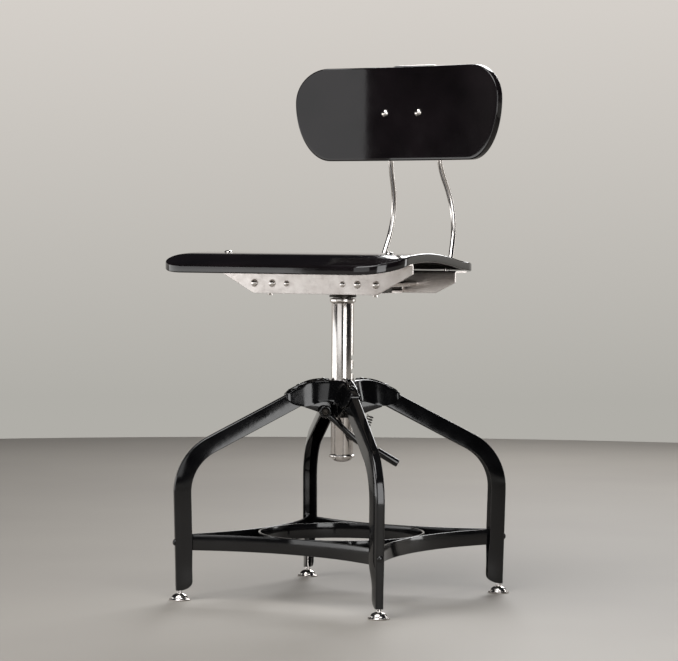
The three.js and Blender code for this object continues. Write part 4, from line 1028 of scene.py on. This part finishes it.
def makeLatch():
    s = latchSize
    turn = postSize["latchTurn"]
    path = rounded([inLatch(p) for p in s["line"]], [0, s["bend"], s["bend"], 0], 8)
    bar = rodWithEnds(path, s["rod"], 24)
    # the eye is a loop of the same bar, drawn down thinner
    a = np.linspace(0, 2 * math.pi, 49)[:-1]
    pivotX, pivotZ = s["pivot"]
    loop = np.stack([pivotX + s["eye"] * np.cos(a), 0 * a - s["plane"], pivotZ + s["eye"] * np.sin(a)], -1)
    eye = swept(loop, circle(s["eyeWire"], 16), closed=True)
    verts, faces = joinedParts(bar, eye)
    makePiece("leverRod", (turnZ(verts, turn), faces), "lever", "enamel", ["lever_rod"], 50)

    corner, end = inLatch(s["line"][2]), inLatch(s["line"][3])
    along = (end - corner) / np.linalg.norm(end - corner)
    mouth, tip = corner + along * s["handleStart"], corner + along * s["handleEnd"]
    length = float(np.linalg.norm(tip - mouth))
    r = s["handle"]
    bore = s["rod"] + 0.15
    grip = spunHollow([(bore, 0), (r - 0.6, 0), (r, 0.8), (r, length - 1.0), (r - 1.0, length),
                       (r - 2.4, length), (r - 2.6, length - 1.6), (bore - 1.3, length - 1.8),
                       (bore, length - 4)], 48, 0.3)
    cap = spunSolid([(0, length - 3.4), (r - 2.0, length - 3.4), (r - 2.4, length - 1.7),
                     (0, length - 1.7)], 32, 0.2)
    verts, faces = joinedParts(grip, cap)
    verts = turnZ(aimed(verts, mouth, along), turn)
    makePiece("leverHandle", (verts, faces), "lever", "enamel", ["lever_handle"], 40)

    pawl = np.array([[s["pawlPlace"], y, s["pawlHeight"]] for y in (-s["plane"] + 5, -14.0, -4.0, 8.0)])
    verts, faces = rodWithEnds(pawl, s["pawl"], 24)
    makePiece("latchPawl", (turnZ(verts, turn), faces), "lever", "dark_steel", ["latch_pawl"], 50)

    boltShape = joinedParts(
        disc(s["pin"], -6.4, 4.4, 28, 0.2),
        hexNut(s["pinNut"], 3.9, 7.0),
        spunSolid([(0, 7.0), (2.4, 7.0), (2.2, 8.2), (0, 8.4)], 28, 0.3))
    pivot = inLatch(s["pivot"])
    verts = aimed(boltShape[0], pivot, (0, -1, 0))
    makePiece("leverPin", (turnZ(verts, turn), boltShape[1]), "base", "dark_steel", ["lever_pin"], 34)

    lugLow, lugHigh = s["lug"]
    wide, tall = s["lugHalf"]
    outer, low, high = pivotX - wide, pivotZ - tall, pivotZ + tall
    corners = [(outer, low), (s["lugInner"], low), (s["lugInner"], high), (outer, high)]
    ring = rounded(corners, [3.5, 1.0, 1.0, 3.5], 5, closed=True)
    e = s["lugEdge"]
    verts, faces = slab(ring, ((lugLow, e), (lugLow + e, 0), (lugHigh - e, 0), (lugHigh, e)), "y")
    makePiece("leverBracket", (turnZ(verts, turn), faces), "base", "enamel", ["lever_bracket"], 40)

    top, low = np.array(s["springTop"], float), np.array(s["springLow"], float)
    t = np.linspace(0, 1, s["turns"] * 24 + 1)
    along = (low - top) / np.linalg.norm(low - top)
    side = np.cross([0, 1, 0], along)
    side /= np.linalg.norm(side)
    other = np.cross(along, side)
    angle = 2 * math.pi * s["turns"] * t
    around = np.cos(angle)[:, None] * side + np.sin(angle)[:, None] * other
    coil = top + (low - top) * t[:, None] + s["coil"] * around
    verts, faces = swept(coil, circle(s["wire"], 8))
    makePiece("latchSpring", (turnZ(verts, turn), faces), "base", "dark_steel", ["latch_spring"], 60)


makeSeat()
makeBackPanel()
print("seat and back made")
makeBracket("frontBracket", "front", -1, "front_bracket")
makeBracket("rearBracket", "rear", 1, "rear_bracket")
makeSwivelPlate()
makeBracketScrews()
makeSeatBolts()
makeBackRod()
makeRodSockets()
makeBackClamp()
print("seat hardware made")
makeLegs()
makeHub()
makeHubDish()
makeRivets()
makeFootrest()
makeGlides()
print("base made")
makePost()
makeSwivel()
makeLatch()
print("post and latch made")


studio = {"floorDark": "#8f8a84", "floorLight": "#99948d", "radius": 3.0, "sides": 128}


def paleFloor():
    s = studio
    material, tree, shader, spot = startMaterial("mattPaintedFloor")
    cloud = noiseAt(tree, spot, 900, 3.0)
    tree.links.new(twoColours(tree, cloud, s["floorDark"], s["floorLight"]), shader.inputs["Base Color"])
    shader.inputs["Roughness"].default_value = 0.65
    a = np.arange(s["sides"]) * 2 * math.pi / s["sides"]
    verts = np.stack([axisX + s["radius"] * np.cos(a), axisY + s["radius"] * np.sin(a), 0 * a], -1)
    mesh = bpy.data.meshes.new("floor")
    mesh.from_pydata(verts.tolist(), [], [list(range(s["sides"]))])
    floor = bpy.data.objects.new("floor", mesh)
    bpy.context.scene.collection.objects.link(floor)
    floor.data.materials.append(material)


cameraSize = {
    "azimuth": 32.42, "distance": 3.78, "height": 0.508, "pitch": 0.03525, "roll": 0.00608, "turn": 0.00136,
    "focal": 2694.0, "imageWidth": 678, "sensor": 36.0,
}


def placeCamera():
    s = cameraSize
    a = math.radians(s["azimuth"])
    data = bpy.data.cameras.new("camera")
    data.sensor_width = s["sensor"]
    data.lens = s["focal"] / s["imageWidth"] * s["sensor"]
    data.clip_end = 60
    camera = bpy.data.objects.new("camera", data)
    bpy.context.scene.collection.objects.link(camera)
    camera.location = (axisX + s["distance"] * math.sin(a), axisY - s["distance"] * math.cos(a), s["height"])
    pan = Matrix.Rotation(a + s["turn"], 3, "Z")
    turn = pan @ Matrix.Rotation(math.pi / 2 - s["pitch"], 3, "X") @ Matrix.Rotation(s["roll"], 3, "Z")
    camera.rotation_euler = turn.to_euler()
    bpy.context.scene.camera = camera


# each light: side angle from the camera, distance, lowest and highest edge, width, watts
softboxes = {
    "key": (-34.5, 2.6, 0.35, 1.45, 2.15, 9.5),
    "lowLeft": (-92, 2.4, 0.02, 0.62, 2.7, 11.0),
    "tallRight": (23, 2.7, 0.08, 1.9, 1.2, 30.0),
    "edgeRight": (112, 2.4, 0.05, 1.9, 0.4, 9.0),
}
# lights that look down at the chair: side angle, distance, height, width, watts
overheads = {
    "high": (-32, 1.2, 2.2, 1.7, 55),
    "behind": (165, 2.6, 1.9, 1.5, 60),
}
glow = {
    "wallLow": "#b0aea8", "wallHigh": "#d4cfc9", "dark": "#17171a", "lowEdge": 0.10, "highEdge": 0.22,
    "wallBottom": -0.06, "wallTop": 0.085, "sideEdge": -0.2, "backEdge": 0.75, "floorEdge": -0.03,
}


def addLight(name, side, distance, height, width, tall, watts, aimHeight):
    a = math.radians(cameraSize["azimuth"] + side)
    data = bpy.data.lights.new(name, "AREA")
    data.shape = "RECTANGLE"
    data.size, data.size_y = width, tall
    data.energy = watts
    light = bpy.data.objects.new(name, data)
    bpy.context.scene.collection.objects.link(light)
    light.location = (axisX + distance * math.sin(a), axisY - distance * math.cos(a), height)
    aim = Vector((axisX, axisY, aimHeight)) - light.location
    light.rotation_euler = aim.to_track_quat("-Z", "Y").to_euler()
    light.visible_camera = False


def placeLights():
    for name, (side, distance, low, high, width, watts) in softboxes.items():
        middle = (low + high) / 2
        addLight(name, side, distance, middle, width, high - low, watts, middle)
    for name, (side, distance, height, width, watts) in overheads.items():
        addLight(name, side, distance, height, width, width, watts, 0.4)
    # the room is pale near the horizon and under it and dark overhead; in front it is dark above the horizon
    world = bpy.data.worlds.new("studioWorld")
    bpy.context.scene.world = world
    world.use_nodes = True
    tree = world.node_tree
    way = addNode(tree, "ShaderNodeTexCoord").outputs["Generated"]
    height = addNode(tree, "ShaderNodeSeparateXYZ", {"Vector": way}).outputs["Z"]
    a = math.radians(cameraSize["azimuth"])

    def ramp(value, low, high):
        return between(tree, value, 0.0, 1.0, low, high)

    def combined(a, b, operation):
        return addNode(tree, "ShaderNodeMath", {0: a, 1: b}, operation=operation).outputs[0]

    facing = {0: way, 1: (-math.sin(a), math.cos(a), 0)}
    back = addNode(tree, "ShaderNodeVectorMath", facing, operation="DOT_PRODUCT").outputs["Value"]
    behind, under = ramp(back, glow["sideEdge"], glow["backEdge"]), ramp(height, 0.0, glow["floorEdge"])
    below = ramp(height, glow["highEdge"], glow["lowEdge"])
    share = combined(combined(behind, under, "MAXIMUM"), below, "MULTIPLY")
    rise = ramp(height, glow["wallBottom"], glow["wallTop"])
    wall = twoColours(tree, rise, glow["wallLow"], glow["wallHigh"], 0.0, 1.0)
    dark = linearColour(glow["dark"])
    room = addNode(tree, "ShaderNodeMix", {0: share, 6: dark, 7: wall}, data_type="RGBA")
    tree.links.new(room.outputs[2], tree.nodes["Background"].inputs["Color"])
    tree.nodes["Background"].inputs["Strength"].default_value = 1.0


paleFloor()
placeCamera()
placeLights()
bpy.context.scene.view_settings.view_transform = "Standard"
print("studio made")
